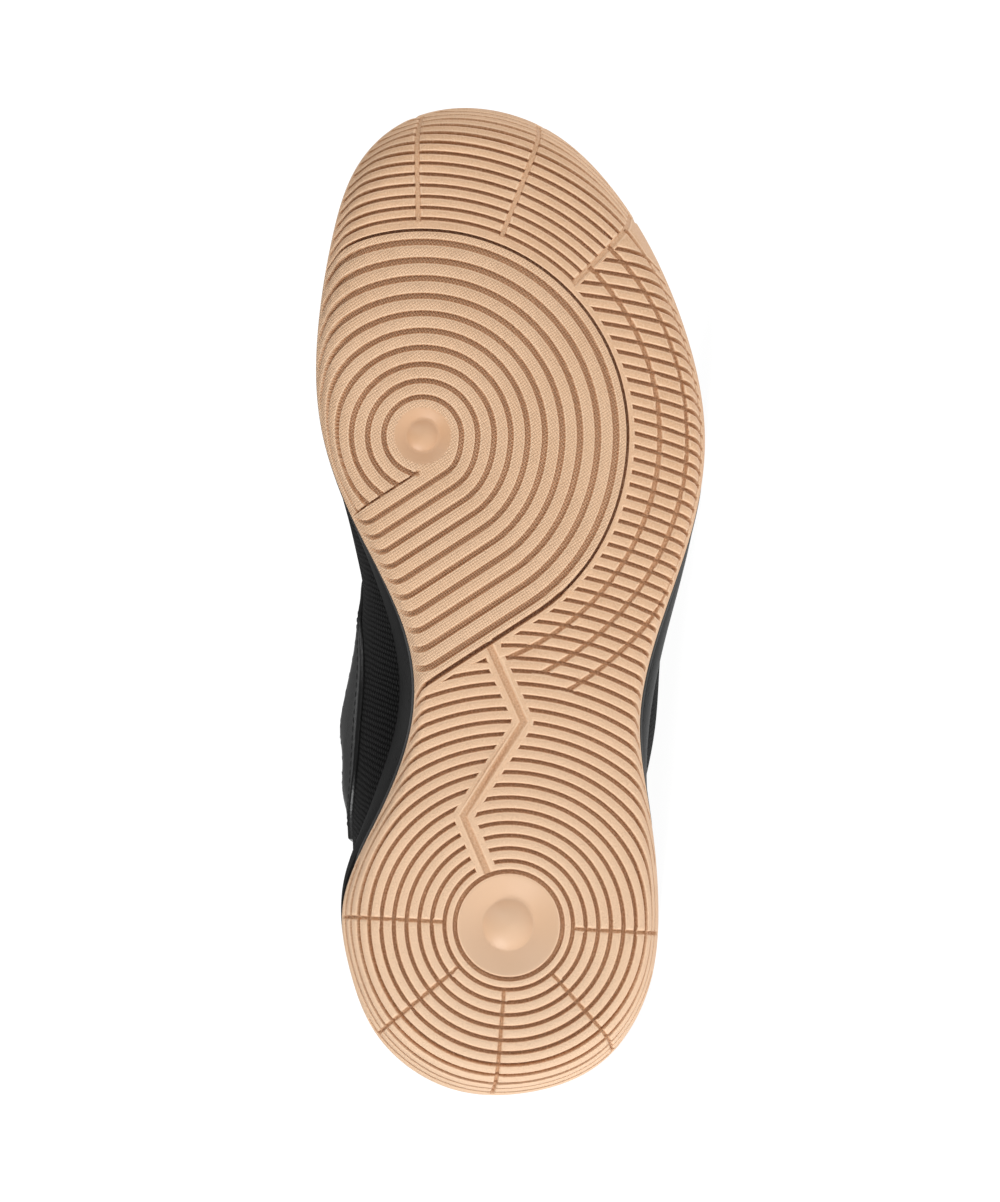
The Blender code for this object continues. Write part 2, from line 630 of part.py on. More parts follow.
def make_outsole():
    solid = Solid("outsole")
    lip_out = tread_surface(solid)
    edge = EDGE_LOOP
    lip_in = solid.loop(edge.ring(edge.full_out - LIP_WALL, edge.lip))
    corner_out = out_at_height(edge.radius, SOLE_THICK) - CORNER_WALL
    corner = solid.loop(edge.floor(corner_out, SOLE_THICK))
    solid.bridge(lip_out, lip_in)
    solid.bridge(lip_in, corner)
    solid.fill(corner, lambda plan: ground(plan) + SOLE_THICK, INTERIOR_GRID)
    return solid


def make_midsole():
    """Foam block: fills the cup, steps out over its lip and rises to a rim round the upper."""
    solid = Solid("midsole")
    edge = EDGE_LOOP
    corner_out = out_at_height(edge.radius, SOLE_THICK) - CORNER_WALL - GAP
    base = solid.loop(edge.floor(corner_out, SOLE_THICK + GAP))
    under_lip = solid.loop(edge.ring(edge.full_out - LIP_WALL - GAP, edge.lip + GAP))
    step_points = edge.ring(edge.full_out - STEP_INSET, edge.lip + GAP)
    step = solid.loop(step_points)
    rim_plan = outline("rim", edge.angle)
    rim_normal = outward(rim_plan)
    rim_height = level("rim", rim_plan[:, 0])
    flare = ((rim_plan - edge.outline) * edge.normal).sum(axis=1)
    share = (0.25 + 0.5 * smooth_step(flare, -4, 5))[:, None]
    crease_plan = step_points[:, :2] * (1 - share) + rim_plan * share + rim_normal * 0.6
    crease_height = step_points[:, 2] + 0.38 * (rim_height - step_points[:, 2])
    crease = solid.loop(np.column_stack([crease_plan, crease_height]))
    rim_low = solid.loop(np.column_stack([rim_plan, rim_height - RIM_ROUND]))
    rim_top = solid.loop(np.column_stack([rim_plan - rim_normal * RIM_ROUND, rim_height]))
    rim_inner = rim_plan - rim_normal * RIM_WALL
    rim_in = solid.loop(np.column_stack([rim_inner, rim_height]))
    bed = solid.loop(np.column_stack([rim_inner, level("bed", rim_inner[:, 0])]))
    rows = [base, under_lip, step, crease, rim_low, rim_top, rim_in, bed]
    for low, high in zip(rows[:-1], rows[1:]):
        solid.bridge(low, high)
    solid.fill(base, lambda plan: ground(plan) + SOLE_THICK + GAP, INTERIOR_GRID)
    solid.fill(bed, lambda plan: level("bed", plan[:, 0]), INTERIOR_GRID)
    return solid


def make_insole():
    solid = Solid("insole")
    plan = rim_inset(RIM_WALL + GAP + UPPER_WALL + INSOLE_CLEAR, EDGE_LOOP.angle)
    bed = level("bed", plan[:, 0]) + GAP
    low = solid.loop(np.column_stack([plan, bed]))
    high = solid.loop(np.column_stack([plan, bed + INSOLE_THICK]))
    solid.bridge(low, high)
    solid.fill(low, lambda p: level("bed", p[:, 0]) + GAP, INTERIOR_GRID)
    solid.fill(high, lambda p: level("bed", p[:, 0]) + GAP + INSOLE_THICK, INTERIOR_GRID)
    return solid


# Upper

def rim_inset(distance, angle):
    """The midsole rim's outline moved inwards."""
    step = 0.002
    plan = outline("rim", angle)
    along = outline("rim", angle + step) - outline("rim", angle - step)
    normal = np.stack([-along[..., 1], along[..., 0]], axis=-1)
    normal /= np.linalg.norm(normal, axis=-1, keepdims=True)
    return plan + normal * distance


def wall_column(name, axis):
    """One coordinate of the upper's belly, shoulder or top, round the shoe."""
    toe, heel = getattr(WALL_TOE, name)[axis], getattr(WALL_HEEL, name)[axis]
    if axis == 1:
        inner, outer = name + "_in", name + "_out"
        return round_column(WALLS, lambda r: -getattr(r, inner), lambda r: getattr(r, outer), toe, heel)
    column = name + "_" + "x z"[axis]
    return round_column(WALLS, lambda r: getattr(r, column), lambda r: getattr(r, column), toe, heel)


CONTROLS = {name: [wall_column(name, axis) for axis in range(3)] for name in ("belly", "shoulder", "top")}
EYESTAY_LOW = round_column(
    WALLS, lambda r: r.eyestay_in, lambda r: r.eyestay_out, WALL_TOE.eyestay, WALL_HEEL.eyestay
)


def control(name, angle):
    return np.stack([curve(angle) for curve in CONTROLS[name]], axis=-1)


def upper_point(angle, row):
    """Outer face of the upper: row -1 is its foot, 0 the rim's top and 1 the topline."""
    angle, row = np.broadcast_arrays(np.asarray(angle, float), np.asarray(row, float))
    foot = rim_inset(RIM_WALL + GAP, angle)
    rim = level("rim", foot[..., 0]) + RIM_CLEAR
    bed = level("bed", foot[..., 0]) + GAP
    share = np.clip(row, 0, 1)[..., None]
    rest = 1 - share
    start = np.concatenate([foot, rim[..., None]], axis=-1)
    curve = rest**3 * start + 3 * rest**2 * share * control("belly", angle)
    curve = curve + 3 * rest * share**2 * control("shoulder", angle) + share**3 * control("top", angle)
    skirt = np.clip(-row, 0, 1)
    curve[..., 2] += skirt * (bed - rim)
    return curve


def upper_normal(angle, row):
    step = 1e-3
    angle, row = np.broadcast_arrays(np.asarray(angle, float), np.asarray(row, float))
    high, low = np.minimum(row + step, 1), np.where(row > 0, np.maximum(row - step, 0), row)
    low = np.where(row <= 0, -1.0, low)
    high = np.where(row <= 0, 0.0, high)
    up = upper_point(angle, high) - upper_point(angle, low)
    round_ = upper_point(angle + step, row) - upper_point(angle - step, row)
    normal = np.cross(round_, up)
    return normal / np.linalg.norm(normal, axis=-1, keepdims=True)


def along_share(angle):
    return (1 + np.cos(angle)) / 2


def wall_thickness(angle, row):
    """The upper's wall, padded round the ankle and rolled in at the topline."""
    padded = 1 - smooth_step(along_share(angle), 0.30, 0.42)
    roll = smooth_step(row, 0.45, 0.82) * (1 - 0.75 * smooth_step(row, 0.88, 1.0))
    return UPPER_WALL + COLLAR_PAD * padded * roll


def make_upper():
    solid = Solid("upper")
    angle = EDGE_LOOP.angle
    outer, inner = [], []
    for row in UPPER_ROWS:
        face = upper_point(angle, row)
        back = face - upper_normal(angle, row) * wall_thickness(angle, row)[:, None]
        if row <= 0:
            back[:, 2] = face[:, 2]
        outer.append(solid.loop(face))
        inner.append(solid.loop(back))
    for rows in (outer, inner):
        for low, high in zip(rows[:-1], rows[1:]):
            solid.bridge(low, high)
    solid.bridge(outer[0], inner[0])
    solid.bridge(outer[-1], inner[-1])
    return solid


def overlay(name, angles, low, high, thick):
    """A panel cut from the upper's own surface, just off it, on the upper's rows between low and high."""
    solid = Solid(name)
    faces = []
    for offset in (OVERLAY_GAP, OVERLAY_GAP + thick):
        rows = []
        for row in (low, *[r for r in UPPER_ROWS if low.min() < r < high.max()], high):
            row = np.clip(row, low, high)
            rows.append(solid.loop(upper_point(angles, row) + upper_normal(angles, row) * offset))
        faces.append(rows)
        for a, b in zip(rows[:-1], rows[1:]):
            solid.bridge(a, b, closed=False)
    back, front = faces
    solid.bridge(back[0], front[0], closed=False)
    solid.bridge(back[-1], front[-1], closed=False)
    for end in (0, -1):
        solid.bridge([row[end] for row in back], [row[end] for row in front], closed=False)
    return solid


def make_eyestay():
    reach = station_angle(EYESTAY_END)
    step = FULL_TURN / AROUND
    count = int(reach / step)
    angles = np.arange(-count, count + 1) * step
    high = np.full_like(angles, EYESTAY_TOP)
    return overlay("eyestay", angles, EYESTAY_LOW(angles), high, EYESTAY_THICK)


def make_counter():
    step = FULL_TURN / AROUND
    count = int((math.pi - station_angle(COUNTER_END)) / step)
    angles = math.pi + np.arange(-count, count + 1) * step
    taper = np.abs(angles - math.pi) / (count * step)
    high = COUNTER_HIGH - 0.22 * taper**3
    return overlay("heel_counter", angles, np.full_like(angles, COUNTER_LOW), high, COUNTER_THICK)


# Tongue and lace

def make_tongue():
    solid = Solid("tongue")
    spine = np.array([(row.x, row.crown) for row in TONGUE])
    along = np.gradient(spine, axis=0)
    along /= np.linalg.norm(along, axis=1, keepdims=True)
    across = np.linspace(-1, 1, TONGUE_ACROSS + 1)
    rings = []
    for row, way in zip(TONGUE, along):
        up = np.array((way[1], 0.0, -way[0]))
        middle = np.array((row.x, row.middle, row.crown))
        taper = row.thick * (1 - 0.6 * across**4)
        face = middle + np.outer(across, (0, row.half, 0)) - np.outer(row.drop * across**2, up)
        back = face - np.outer(taper, up)
        rings.append(solid.loop(np.concatenate([face, back[::-1]])))
    for low, high in zip(rings[:-1], rings[1:]):
        solid.bridge(low, high)
    half = TONGUE_ACROSS + 1
    for ring in (rings[0], rings[-1]):
        solid.bridge(ring[:half], ring[half:][::-1], closed=False)
    return solid


def eyelet(number, side):
    """Angle of an eyelet: number 0 is the top pair, side 1 the outer and -1 the inner side."""
    return side * station_angle(EYELET_FIRST + EYELET_PITCH * number)


def lace_bar(start, end, lift):
    """Points, up directions and sides of a lace from one eyelet over the throat to another."""
    base = OVERLAY_GAP + EYESTAY_THICK + LACE_CLEAR + LACE_THICK / 2 + (LACE_END_LIFT if lift else 0.0)
    holes, edges, ways, ups = [], [], [], []
    for angle, other in ((start, end), (end, start)):
        brink = angle + LACE_DRIFT * (abs(other) - abs(angle)) * np.sign(angle)
        normal = upper_normal(brink, 1.0)
        inward = upper_point(brink, 1.0) - upper_point(angle, EYELET_ROW)
        holes.append(upper_point(angle, EYELET_ROW) + upper_normal(angle, EYELET_ROW) * base)
        edges.append(upper_point(brink, 1.0) + normal * base)
        ways.append(inward / np.linalg.norm(inward))
        ups.append(normal)
    reach = LACE_REACH * np.linalg.norm(edges[1] - edges[0])
    share = np.linspace(0, 1, LACE_POINTS)[:, None]
    rest = 1 - share
    arch = rest**3 * edges[0] + share**3 * edges[1]
    arch = arch + 3 * rest**2 * share * (edges[0] + ways[0] * reach)
    arch = arch + 3 * rest * share**2 * (edges[1] + ways[1] * reach)
    up = rest * ups[0] + share * ups[1] + 2.0 * rest * share * (ups[0] + ups[1])
    up /= np.linalg.norm(up, axis=1, keepdims=True)
    arch = arch + up * lift * np.exp(-(((share - 0.5) / 0.3) ** 2))
    path = np.concatenate([holes[:1], arch, holes[1:]])
    up = np.concatenate([ups[:1], up, ups[1:]])
    along = np.gradient(path, axis=0)
    side = np.cross(along, up)
    side /= np.linalg.norm(side, axis=1, keepdims=True)
    return path, np.cross(side, along) / np.linalg.norm(along, axis=1, keepdims=True), side


def ribbon(name, path, up, side):
    solid = Solid(name)
    half, thick = LACE_WIDTH / 2, LACE_THICK / 2
    corners = ((-half, -thick), (half, -thick), (half, thick), (-half, thick))
    rows = [solid.loop(path + side * a + up * b) for a, b in corners]
    for low, high in zip(rows, rows[1:] + rows[:1]):
        solid.bridge(low, high, closed=False)
    for end in (0, -1):
        solid.faces.append(tuple(row[end] for row in rows))
    return solid


def make_lace(material, parent):
    """All crossings of the lace, joined where they cross and where they meet at an eyelet."""
    bars = [(eyelet(EYELETS - 1, -1), eyelet(EYELETS - 1, 1), 0.0)]
    for number in range(EYELETS - 1):
        bars.append((eyelet(number + 1, -1), eyelet(number, 1), 0.0))
        bars.append((eyelet(number + 1, 1), eyelet(number, -1), LACE_CROSS_LIFT))
    pieces = [ribbon("lace", *lace_bar(*bar)).build(material, parent) for bar in bars]
    lace = pieces[0]
    for piece in pieces[1:]:
        piece.hide_render = True
        piece.display_type = "WIRE"
        join = lace.modifiers.new("join", "BOOLEAN")
        join.operation = "UNION"
        join.solver = "EXACT"
        join.object = piece
    return lace


# The shoe on its side

def resting_turn(points, centre):
    """The turn that lays the outer side down: on the hull's face below the centre, toe towards +X."""
    hull = bmesh.new()
    for point in points:
        hull.verts.new(point)
    bmesh.ops.convex_hull(hull, input=hull.verts)
    hull.faces.ensure_lookup_table()
    best, best_area = None, 0.0
    for face in hull.faces:
        normal = face.normal
        if normal.y < 0.9 or face.calc_area() < best_area:
            continue
        foot = centre + normal * (face.verts[0].co - centre).dot(normal)
        if geometry.intersect_point_tri(foot, *[corner.co for corner in face.verts]):
            best, best_area = normal.copy(), face.calc_area()
    hull.free()
    down = best.normalized()
    toe = Vector((1, 0, 0))
    toe = (toe - down * toe.dot(down)).normalized()
    return Matrix((toe, (-down).cross(toe), -down))


def centre_of(objects):
    """Centre of volume of the solids."""
    total, moment = 0.0, Vector()
    for part in objects:
        mesh = part.data
        for face in mesh.polygons:
            a, b, c = [mesh.vertices[i].co for i in face.vertices]
            volume = a.dot(b.cross(c)) / 6
            total += volume
            moment += volume * (a + b + c) / 4
    return moment / total


def lay_down(parent, objects):
    points = [corner.co.copy() for part in objects for corner in part.data.vertices]
    turn = resting_turn(points, centre_of(objects))
    turned = np.array([turn @ point for point in points])
    low, high = turned.min(axis=0), turned.max(axis=0)
    shift = Vector((-(low[0] + high[0]) / 2, -(low[1] + high[1]) / 2, -low[2]))
    parent.matrix_world = Matrix.Translation(shift) @ turn.to_4x4()


def main():
    for old in list(bpy.data.objects):
        bpy.data.objects.remove(old, do_unlink=True)
    parent = bpy.data.objects.new("shoe", None)
    bpy.context.scene.collection.objects.link(parent)
    gum = make_material("gum_rubber", (0.68, 0.46, 0.29), 0.55)
    foam = make_material("black_foam", (0.04, 0.037, 0.037), 0.6)
    knit = make_material("black_knit", (0.012, 0.011, 0.012), 0.9)
    fused = make_material("black_overlay", (0.016, 0.015, 0.016), 0.55)
    board = make_material("insole_cloth", (0.03, 0.03, 0.03), 0.9)
    cord = make_material("black_lace", (0.02, 0.02, 0.02), 0.8)
    parts = [
        make_outsole().build(gum, parent),
        make_midsole().build(foam, parent),
        make_insole().build(board, parent),
        make_upper().build(knit, parent),
        make_eyestay().build(fused, parent),
        make_counter().build(fused, parent),
        make_tongue().build(knit, parent),
    ]
    lay_down(parent, parts)
    make_lace(cord, parent)


main()
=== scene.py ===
# %% [markdown]
# # A left basketball shoe, seen from below
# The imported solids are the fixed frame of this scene. Every cell dresses one of them: the gum outsole
# with its full tread, the foam midsole, the knitted upper with its panels, the padded tongue and the
# lace. Lengths are millimetres in the shoe's own frame: x from heel to toe, y to the outer side, z up
# from the ground.

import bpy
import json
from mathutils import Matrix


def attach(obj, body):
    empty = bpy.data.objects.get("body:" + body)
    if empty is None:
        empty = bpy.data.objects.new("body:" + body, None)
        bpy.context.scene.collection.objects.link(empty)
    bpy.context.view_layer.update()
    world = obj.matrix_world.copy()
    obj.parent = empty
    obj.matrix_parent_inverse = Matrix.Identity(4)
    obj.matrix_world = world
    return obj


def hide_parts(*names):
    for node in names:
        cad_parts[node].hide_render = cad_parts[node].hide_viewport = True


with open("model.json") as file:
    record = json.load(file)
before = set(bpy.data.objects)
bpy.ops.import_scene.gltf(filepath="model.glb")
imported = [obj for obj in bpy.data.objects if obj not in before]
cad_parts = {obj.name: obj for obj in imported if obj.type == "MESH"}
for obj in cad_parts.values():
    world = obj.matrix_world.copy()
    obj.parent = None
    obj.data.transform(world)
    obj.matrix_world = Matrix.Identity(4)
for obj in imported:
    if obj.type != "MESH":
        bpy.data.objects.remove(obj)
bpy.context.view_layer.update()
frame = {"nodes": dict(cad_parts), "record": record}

import json
import math
from collections import namedtuple

import bmesh
import bpy
import numpy as np
from mathutils import Matrix, Vector, geometry
from mathutils.kdtree import KDTree

MM = 0.001
FULL_TURN = 2 * math.pi
print("frame nodes:", sorted(frame["nodes"]))

# %% [markdown]
# The record gives two flat spots on the tread and the tread's own direction. They are enough to find the
# shoe's frame, however the shoe lies: the direction is straight down through the sole, and the line
# between the spots, turned by its known slant, runs to the toe.

# %% The shoe's own frame
HEEL_SPOT = np.array((42.0, -0.7, 0.0))
SPOT_RUN, SPOT_SLANT = 163.0, 8.7


def unit(vectors):
    vectors = np.asarray(vectors, float)
    return vectors / np.linalg.norm(vectors, axis=-1, keepdims=True)


def length(vectors):
    return np.linalg.norm(vectors, axis=-1)


mounts = {mount["name"]: mount for mount in frame["record"]["mounts"]}
heel_place, toe_place = (np.array(mounts[name]["pos_m"]) for name in ("heel_tread", "forefoot_tread"))
UP = -unit(mounts["heel_tread"]["axis"])
WAY = unit(toe_place - heel_place - UP * ((toe_place - heel_place) @ UP))
SLANT = math.atan2(SPOT_SLANT, SPOT_RUN)
TO_TOE = WAY * math.cos(SLANT) - np.cross(UP, WAY) * math.sin(SLANT)
AXES = np.array((TO_TOE, np.cross(UP, TO_TOE), UP))
ORIGIN = heel_place - HEEL_SPOT * MM @ AXES


def place(points):
    """Points of the shoe's frame, in millimetres, as points of the scene."""
    return ORIGIN + np.asarray(points, float) * MM @ AXES


print("shoe axes:", np.round(AXES, 3).tolist())

# %% [markdown]
# The photo was taken from far off, straight at the sole and a little from the inner side, so a long lens
# stands six metres away. The camera is rolled so that the toe points up.

# %% Camera
FRAME_HIGH = 366.6
LOOK_AT = (151.1, -3.4, 0.0)
CAMERA_TILT = math.radians(4)
CAMERA_AWAY = 6000.0
SENSOR = 36.0
FAR_CLIP = 100.0


def new_object(name, data):
    """An object that shows some data in the scene."""
    thing = bpy.data.objects.new(name, data)
    bpy.context.scene.collection.objects.link(thing)
    return thing


def look_along(thing, way, up):
    """Turns a camera or a light so that it looks along a direction."""
    right = unit(np.cross(way, up))
    turn = np.column_stack([right, np.cross(right, way), -np.asarray(way)])
    thing.matrix_world = Matrix.Translation(thing.location) @ Matrix(turn).to_4x4()


def make_camera():
    data = bpy.data.cameras.new("camera")
    data.sensor_fit = "VERTICAL"
    data.sensor_height = SENSOR
    data.lens = SENSOR * CAMERA_AWAY / FRAME_HIGH
    data.clip_end = FAR_CLIP
    camera = new_object("camera", data)
    way = np.array((0.0, math.sin(CAMERA_TILT), math.cos(CAMERA_TILT))) @ AXES
    camera.location = place(LOOK_AT) - way * CAMERA_AWAY * MM
    look_along(camera, way, TO_TOE)
    bpy.context.scene.camera = camera
    return camera


camera = make_camera()
print("camera at", np.round(camera.location, 3).tolist())

# %% [markdown]
# The light is that of a photographer's table. One soft light is high over the sole, a weak one at the
# inner toe and one overhead for the dark upper. A low, strong one from the heel's end draws a bright line
# along the lip of every groove. The room adds an even light from all round.

# %% Light
Light = namedtuple("Light", "name source spread strength")
LIGHTS = (
    Light("high", (0.45, -0.25, -0.86), 20.0, 0.5),
    Light("low", (-0.86, -0.30, -0.42), 30.0, 2.0),
    Light("side", (0.60, -0.70, -0.38), 30.0, 0.65),
    Light("over", (0.10, -0.92, 0.38), 40.0, 0.45),
)
LIGHT_ROLL = AXES[0] + 0.01 * AXES[1]
ROOM_LIGHT = 0.215


def soft_light(light):
    """A wide, even light from a direction of the shoe's frame; its spread is in degrees of the sky."""
    data = bpy.data.lights.new(light.name, "SUN")
    data.angle = math.radians(light.spread)
    data.energy = light.strength
    source = np.array(light.source) @ AXES
    look_along(new_object(light.name, data), -unit(source), LIGHT_ROLL)


def make_world(strength):
    """Even white light from all round."""
    world = bpy.data.worlds.new("room")
    world.use_nodes = True
    background = world.node_tree.nodes["Background"]
    background.inputs["Color"].default_value = (1, 1, 1, 1)
    background.inputs["Strength"].default_value = strength
    bpy.context.scene.world = world


for light in LIGHTS:
    soft_light(light)
make_world(ROOM_LIGHT)
bpy.context.scene.view_settings.view_transform = "Standard"
print("lights:", [light.name for light in LIGHTS])

# %% [markdown]
# The form of the shoe comes from the same few tables as its solids: widths at stations along the length,
# and the heights of the foot bed and the midsole's rim. A dozen numbers to an outline are easier to
# correct than a traced line.

# %% Outline tables
LENGTH, BALL_WIDTH, COLLAR_HEIGHT = 302.0, 118.0, 122.0
GAP = 0.3
SOLE_THICK, LIP_WALL, CORNER_WALL = 4.6, 2.2, 3.0
LIP_LEAN = math.radians(72)
TOE_SPRING, TOE_SPRING_FROM = 9.0, 228.0
HEEL_BEVEL, HEEL_BEVEL_FROM = 2.0, 22.0
ARCH_LIFT, ARCH_ENDS, ARCH_SIDES = 2.6, (78.0, 108.0, 136.0, 170.0), (-30.0, 45.0)

Section = namedtuple("Section", "along sole_in sole_out rim_in rim_out edge_in edge_out lip")
SECTIONS = (
    Section(0.020, 22.4, 19.3, 17.5, 14.6, 12.0, 11.5, 15.0),
    Section(0.066, 34.8, 31.7, 29.5, 27.8, 12.0, 10.0, 14.5),
    Section(0.132, 41.4, 38.0, 36.1, 34.6, 11.0, 7.5, 13.0),
    Section(0.200, 42.7, 38.9, 37.6, 35.7, 9.5, 6.5, 11.5),
    Section(0.288, 33.3, 36.5, 34.2, 36.2, 5.0, 5.0, 8.0),
    Section(0.377, 25.3, 33.8, 27.8, 37.4, 2.5, 3.0, 6.0),
    Section(0.464, 26.6, 38.1, 29.0, 41.6, 2.5, 3.0, 6.0),
    Section(0.576, 39.7, 47.7, 38.7, 48.2, 5.0, 4.0, 8.5),
    Section(0.666, 48.1, 51.0, 45.3, 48.6, 8.0, 5.5, 11.0),
    Section(0.775, 49.4, 45.9, 46.4, 43.0, 9.0, 6.5, 12.0),
    Section(0.864, 45.8, 36.3, 43.0, 33.4, 9.5, 8.0, 13.0),
    Section(0.930, 40.4, 24.9, 37.3, 22.4, 10.5, 10.0, 14.0),
    Section(0.977, 30.2, 11.1, 27.1, 9.3, 12.0, 12.0, 15.0),
)
End = namedtuple("End", "sole_x sole_y rim_x rim_y edge lip")
HEEL_END = End(0.0, -3.6, 5.0, -3.0, 12.0, 15.0)
TOE_END = End(LENGTH, -12.5, LENGTH - 4.5, -11.8, 13.0, 15.5)
Level = namedtuple("Level", "along bed rim")
LEVELS = (
    Level(0.00, 20.5, 31.5),
    Level(0.20, 19.7, 29.0),
    Level(0.38, 17.4, 26.5),
    Level(0.58, 14.2, 23.8),
    Level(0.67, 13.3, 23.0),
    Level(0.78, 13.8, 23.2),
    Level(0.87, 16.0, 25.0),
    Level(0.94, 18.6, 27.6),
    Level(1.00, 21.0, 30.0),
)
LEVEL_BLUR = (-0.04, -0.02, 0, 0.02, 0.04)
print(len(SECTIONS), "sections and", len(LEVELS), "levels")

# %% [markdown]
# A closed spline through each column of a table gives a smooth outline round the shoe. The angle runs
# from the toe over the outer side to the heel, and back along the inner side.

# %% Smooth outlines
def smooth_step(value, low, high):
    share = np.clip((np.asarray(value, float) - low) / (high - low), 0, 1)
    return share * share * (3 - 2 * share)


def periodic_spline(knots, values):
    """A smooth closed curve of angle through the values at the knots."""
    knots, values = np.asarray(knots, float), np.asarray(values, float)
    count = len(knots)
    step = np.diff(np.append(knots, knots[0] + FULL_TURN))
    slope = np.diff(np.append(values, values[0])) / step
    before, after = np.roll(step, 1), step
    system = np.zeros((count, count))
    for i in range(count):
        system[i, i - 1] += after[i]
        system[i, i] += 2 * (before[i] + after[i])
        system[i, (i + 1) % count] += before[i]
    tangent = np.linalg.solve(system, 3 * (after * np.roll(slope, 1) + before * slope))

    def curve(angle):
        angle = np.mod(np.asarray(angle, float), FULL_TURN)
        i = np.clip(np.searchsorted(knots, angle, side="right") - 1, 0, count - 1)
        j = (i + 1) % count
        share = (angle - knots[i]) / step[i]
        rest = 1 - share
        ends = rest**2 * (1 + 2 * share) * values[i] + share**2 * (3 - 2 * share) * values[j]
        return ends + step[i] * share * rest * (rest * tangent[i] - share * tangent[j])

    return curve


def station_angle(along):
    """Angle round the shoe of a station on the outer side: 0 is the toe and a half turn the heel."""
    return math.acos(2 * along - 1)


def round_column(rows, inner, outer, toe, heel):
    """A column of a table as a closed curve: toe, outer side, heel, inner side."""
    rows = sorted(rows, key=lambda row: -row.along)
    knots = [0.0] + [station_angle(row.along) for row in rows] + [math.pi]
    knots += [FULL_TURN - station_angle(row.along) for row in reversed(rows)]
    values = [toe] + [outer(row) for row in rows] + [heel] + [inner(row) for row in reversed(rows)]
    return periodic_spline(knots, values)


def plan_curve(name):
    inner, outer = name + "_in", name + "_out"
    return round_column(
        SECTIONS,
        lambda row: -getattr(row, inner) * BALL_WIDTH / 100,
        lambda row: getattr(row, outer) * BALL_WIDTH / 100,
        getattr(TOE_END, name + "_y"),
        getattr(HEEL_END, name + "_y"),
    )


PLAN = {name: plan_curve(name) for name in ("sole", "rim")}
EDGE = round_column(SECTIONS, lambda r: r.edge_in, lambda r: r.edge_out, TOE_END.edge, HEEL_END.edge)
LIP = round_column(SECTIONS, lambda r: r.lip, lambda r: r.lip, TOE_END.lip, HEEL_END.lip)
print("outline curves:", sorted(PLAN))

# %% [markdown]
# With the curves, three questions can be answered anywhere on the shoe: where an outline runs, which way
# is out, and how high the rim, the foot bed and the tread lie.

# %% Outlines and heights
def outline(name, angle):
    """Plan points of the sole's or the rim's outline."""
    toe, heel = getattr(TOE_END, name + "_x"), getattr(HEEL_END, name + "_x")
    x = (toe + heel) / 2 + (toe - heel) / 2 * np.cos(angle)
    return np.stack([x, PLAN[name](angle)], axis=-1)


def outward(points):
    """Unit plan normals of the closed outline, which runs from the toe to the outer side."""
    along = np.roll(points, -1, axis=0) - np.roll(points, 1, axis=0)
    return unit(np.stack([along[:, 1], -along[:, 0]], axis=-1))


def level(name, x):
    """Height of the foot bed or of the rim's top, eased between the table's rows."""
    share = np.asarray(x, float) / LENGTH
    heights = [getattr(row, name) * COLLAR_HEIGHT / 100 for row in LEVELS]
    knots = [row.along for row in LEVELS]
    near = [np.interp(np.clip(share + d, 0, 1), knots, heights) for d in LEVEL_BLUR]
    return sum(near) / len(near)


def ground(points):
    """Height of the tread's face over the ground plane: toe spring, heel bevel and arch."""
    x, y = points[..., 0], points[..., 1]
    toe = TOE_SPRING * (np.clip(x - TOE_SPRING_FROM, 0, None) / (LENGTH - TOE_SPRING_FROM)) ** 2
    heel = HEEL_BEVEL * (np.clip(HEEL_BEVEL_FROM - x, 0, None) / HEEL_BEVEL_FROM) ** 2
    arch = smooth_step(x, *ARCH_ENDS[:2]) * (1 - smooth_step(x, *ARCH_ENDS[2:]))
    return toe + heel + ARCH_LIFT * arch * (1 - smooth_step(y, *ARCH_SIDES))


print("rim at the heel:", round(float(level("rim", 0.0)), 1), "mm high")

# %% [markdown]
# The rubber turns up round the whole sole. At each angle its section is an arc that starts at the tread's
# flat border and a straight lip that leans outwards.

# %% The sole's edge
AROUND = 512


def out_at_height(radius, height):
    """How far out the edge's section lies at a height over the tread."""
    arc_top = radius * (1 - math.cos(LIP_LEAN))
    on_arc = radius * np.sin(np.arccos(np.clip(1 - height / radius, math.cos(LIP_LEAN), 1)))
    return on_arc + np.maximum(height - arc_top, 0) / math.tan(LIP_LEAN)


class SoleEdge:
    """The tread's flat border and, for each angle, the section of the edge that wraps up from it."""

    def __init__(self, angle):
        self.angle = angle
        self.outline = outline("sole", self.angle)
        self.normal = outward(self.outline)
        self.radius, self.lip = EDGE(self.angle), LIP(self.angle)
        self.full_out = out_at_height(self.radius, self.lip)
        arc_up = self.radius * (1 - math.cos(LIP_LEAN))
        self.run = self.radius * LIP_LEAN + (self.lip - arc_up) / math.sin(LIP_LEAN)
        self.border = self.outline - self.normal * self.full_out[:, None]

    def ring(self, out, up):
        """A loop of points at a distance out from the border and up from the tread."""
        plan = self.border + self.normal * np.broadcast_to(out, self.radius.shape)[:, None]
        return np.column_stack([plan, ground(self.border) + up])

    def floor(self, out, up):
        """The same, but up from the tread's own face carried on to where the points lie."""
        points = self.ring(out, up)
        points[:, 2] = ground(points) + up
        return points


RIM = SoleEdge(np.arange(AROUND) * FULL_TURN / AROUND)
print("sole", np.round(np.ptp(RIM.outline, axis=0), 1).tolist(), "mm long and wide")

# %% [markdown]
# The tread is drawn flat and then wrapped: the rubber bends up round the edge of the sole, so a rib that
# is straight in the drawing runs up the side wall by itself. Each point finds the nearest place on the
# tread's border, and what lies beyond the border is rolled over an arc and up the leaning lip.

# %% Rolling the flat tread round the edge
FINE = SoleEdge(np.arange(2 * AROUND) * math.pi / AROUND)
SEARCH_BLOCK = 2000
TINY = 1e-6


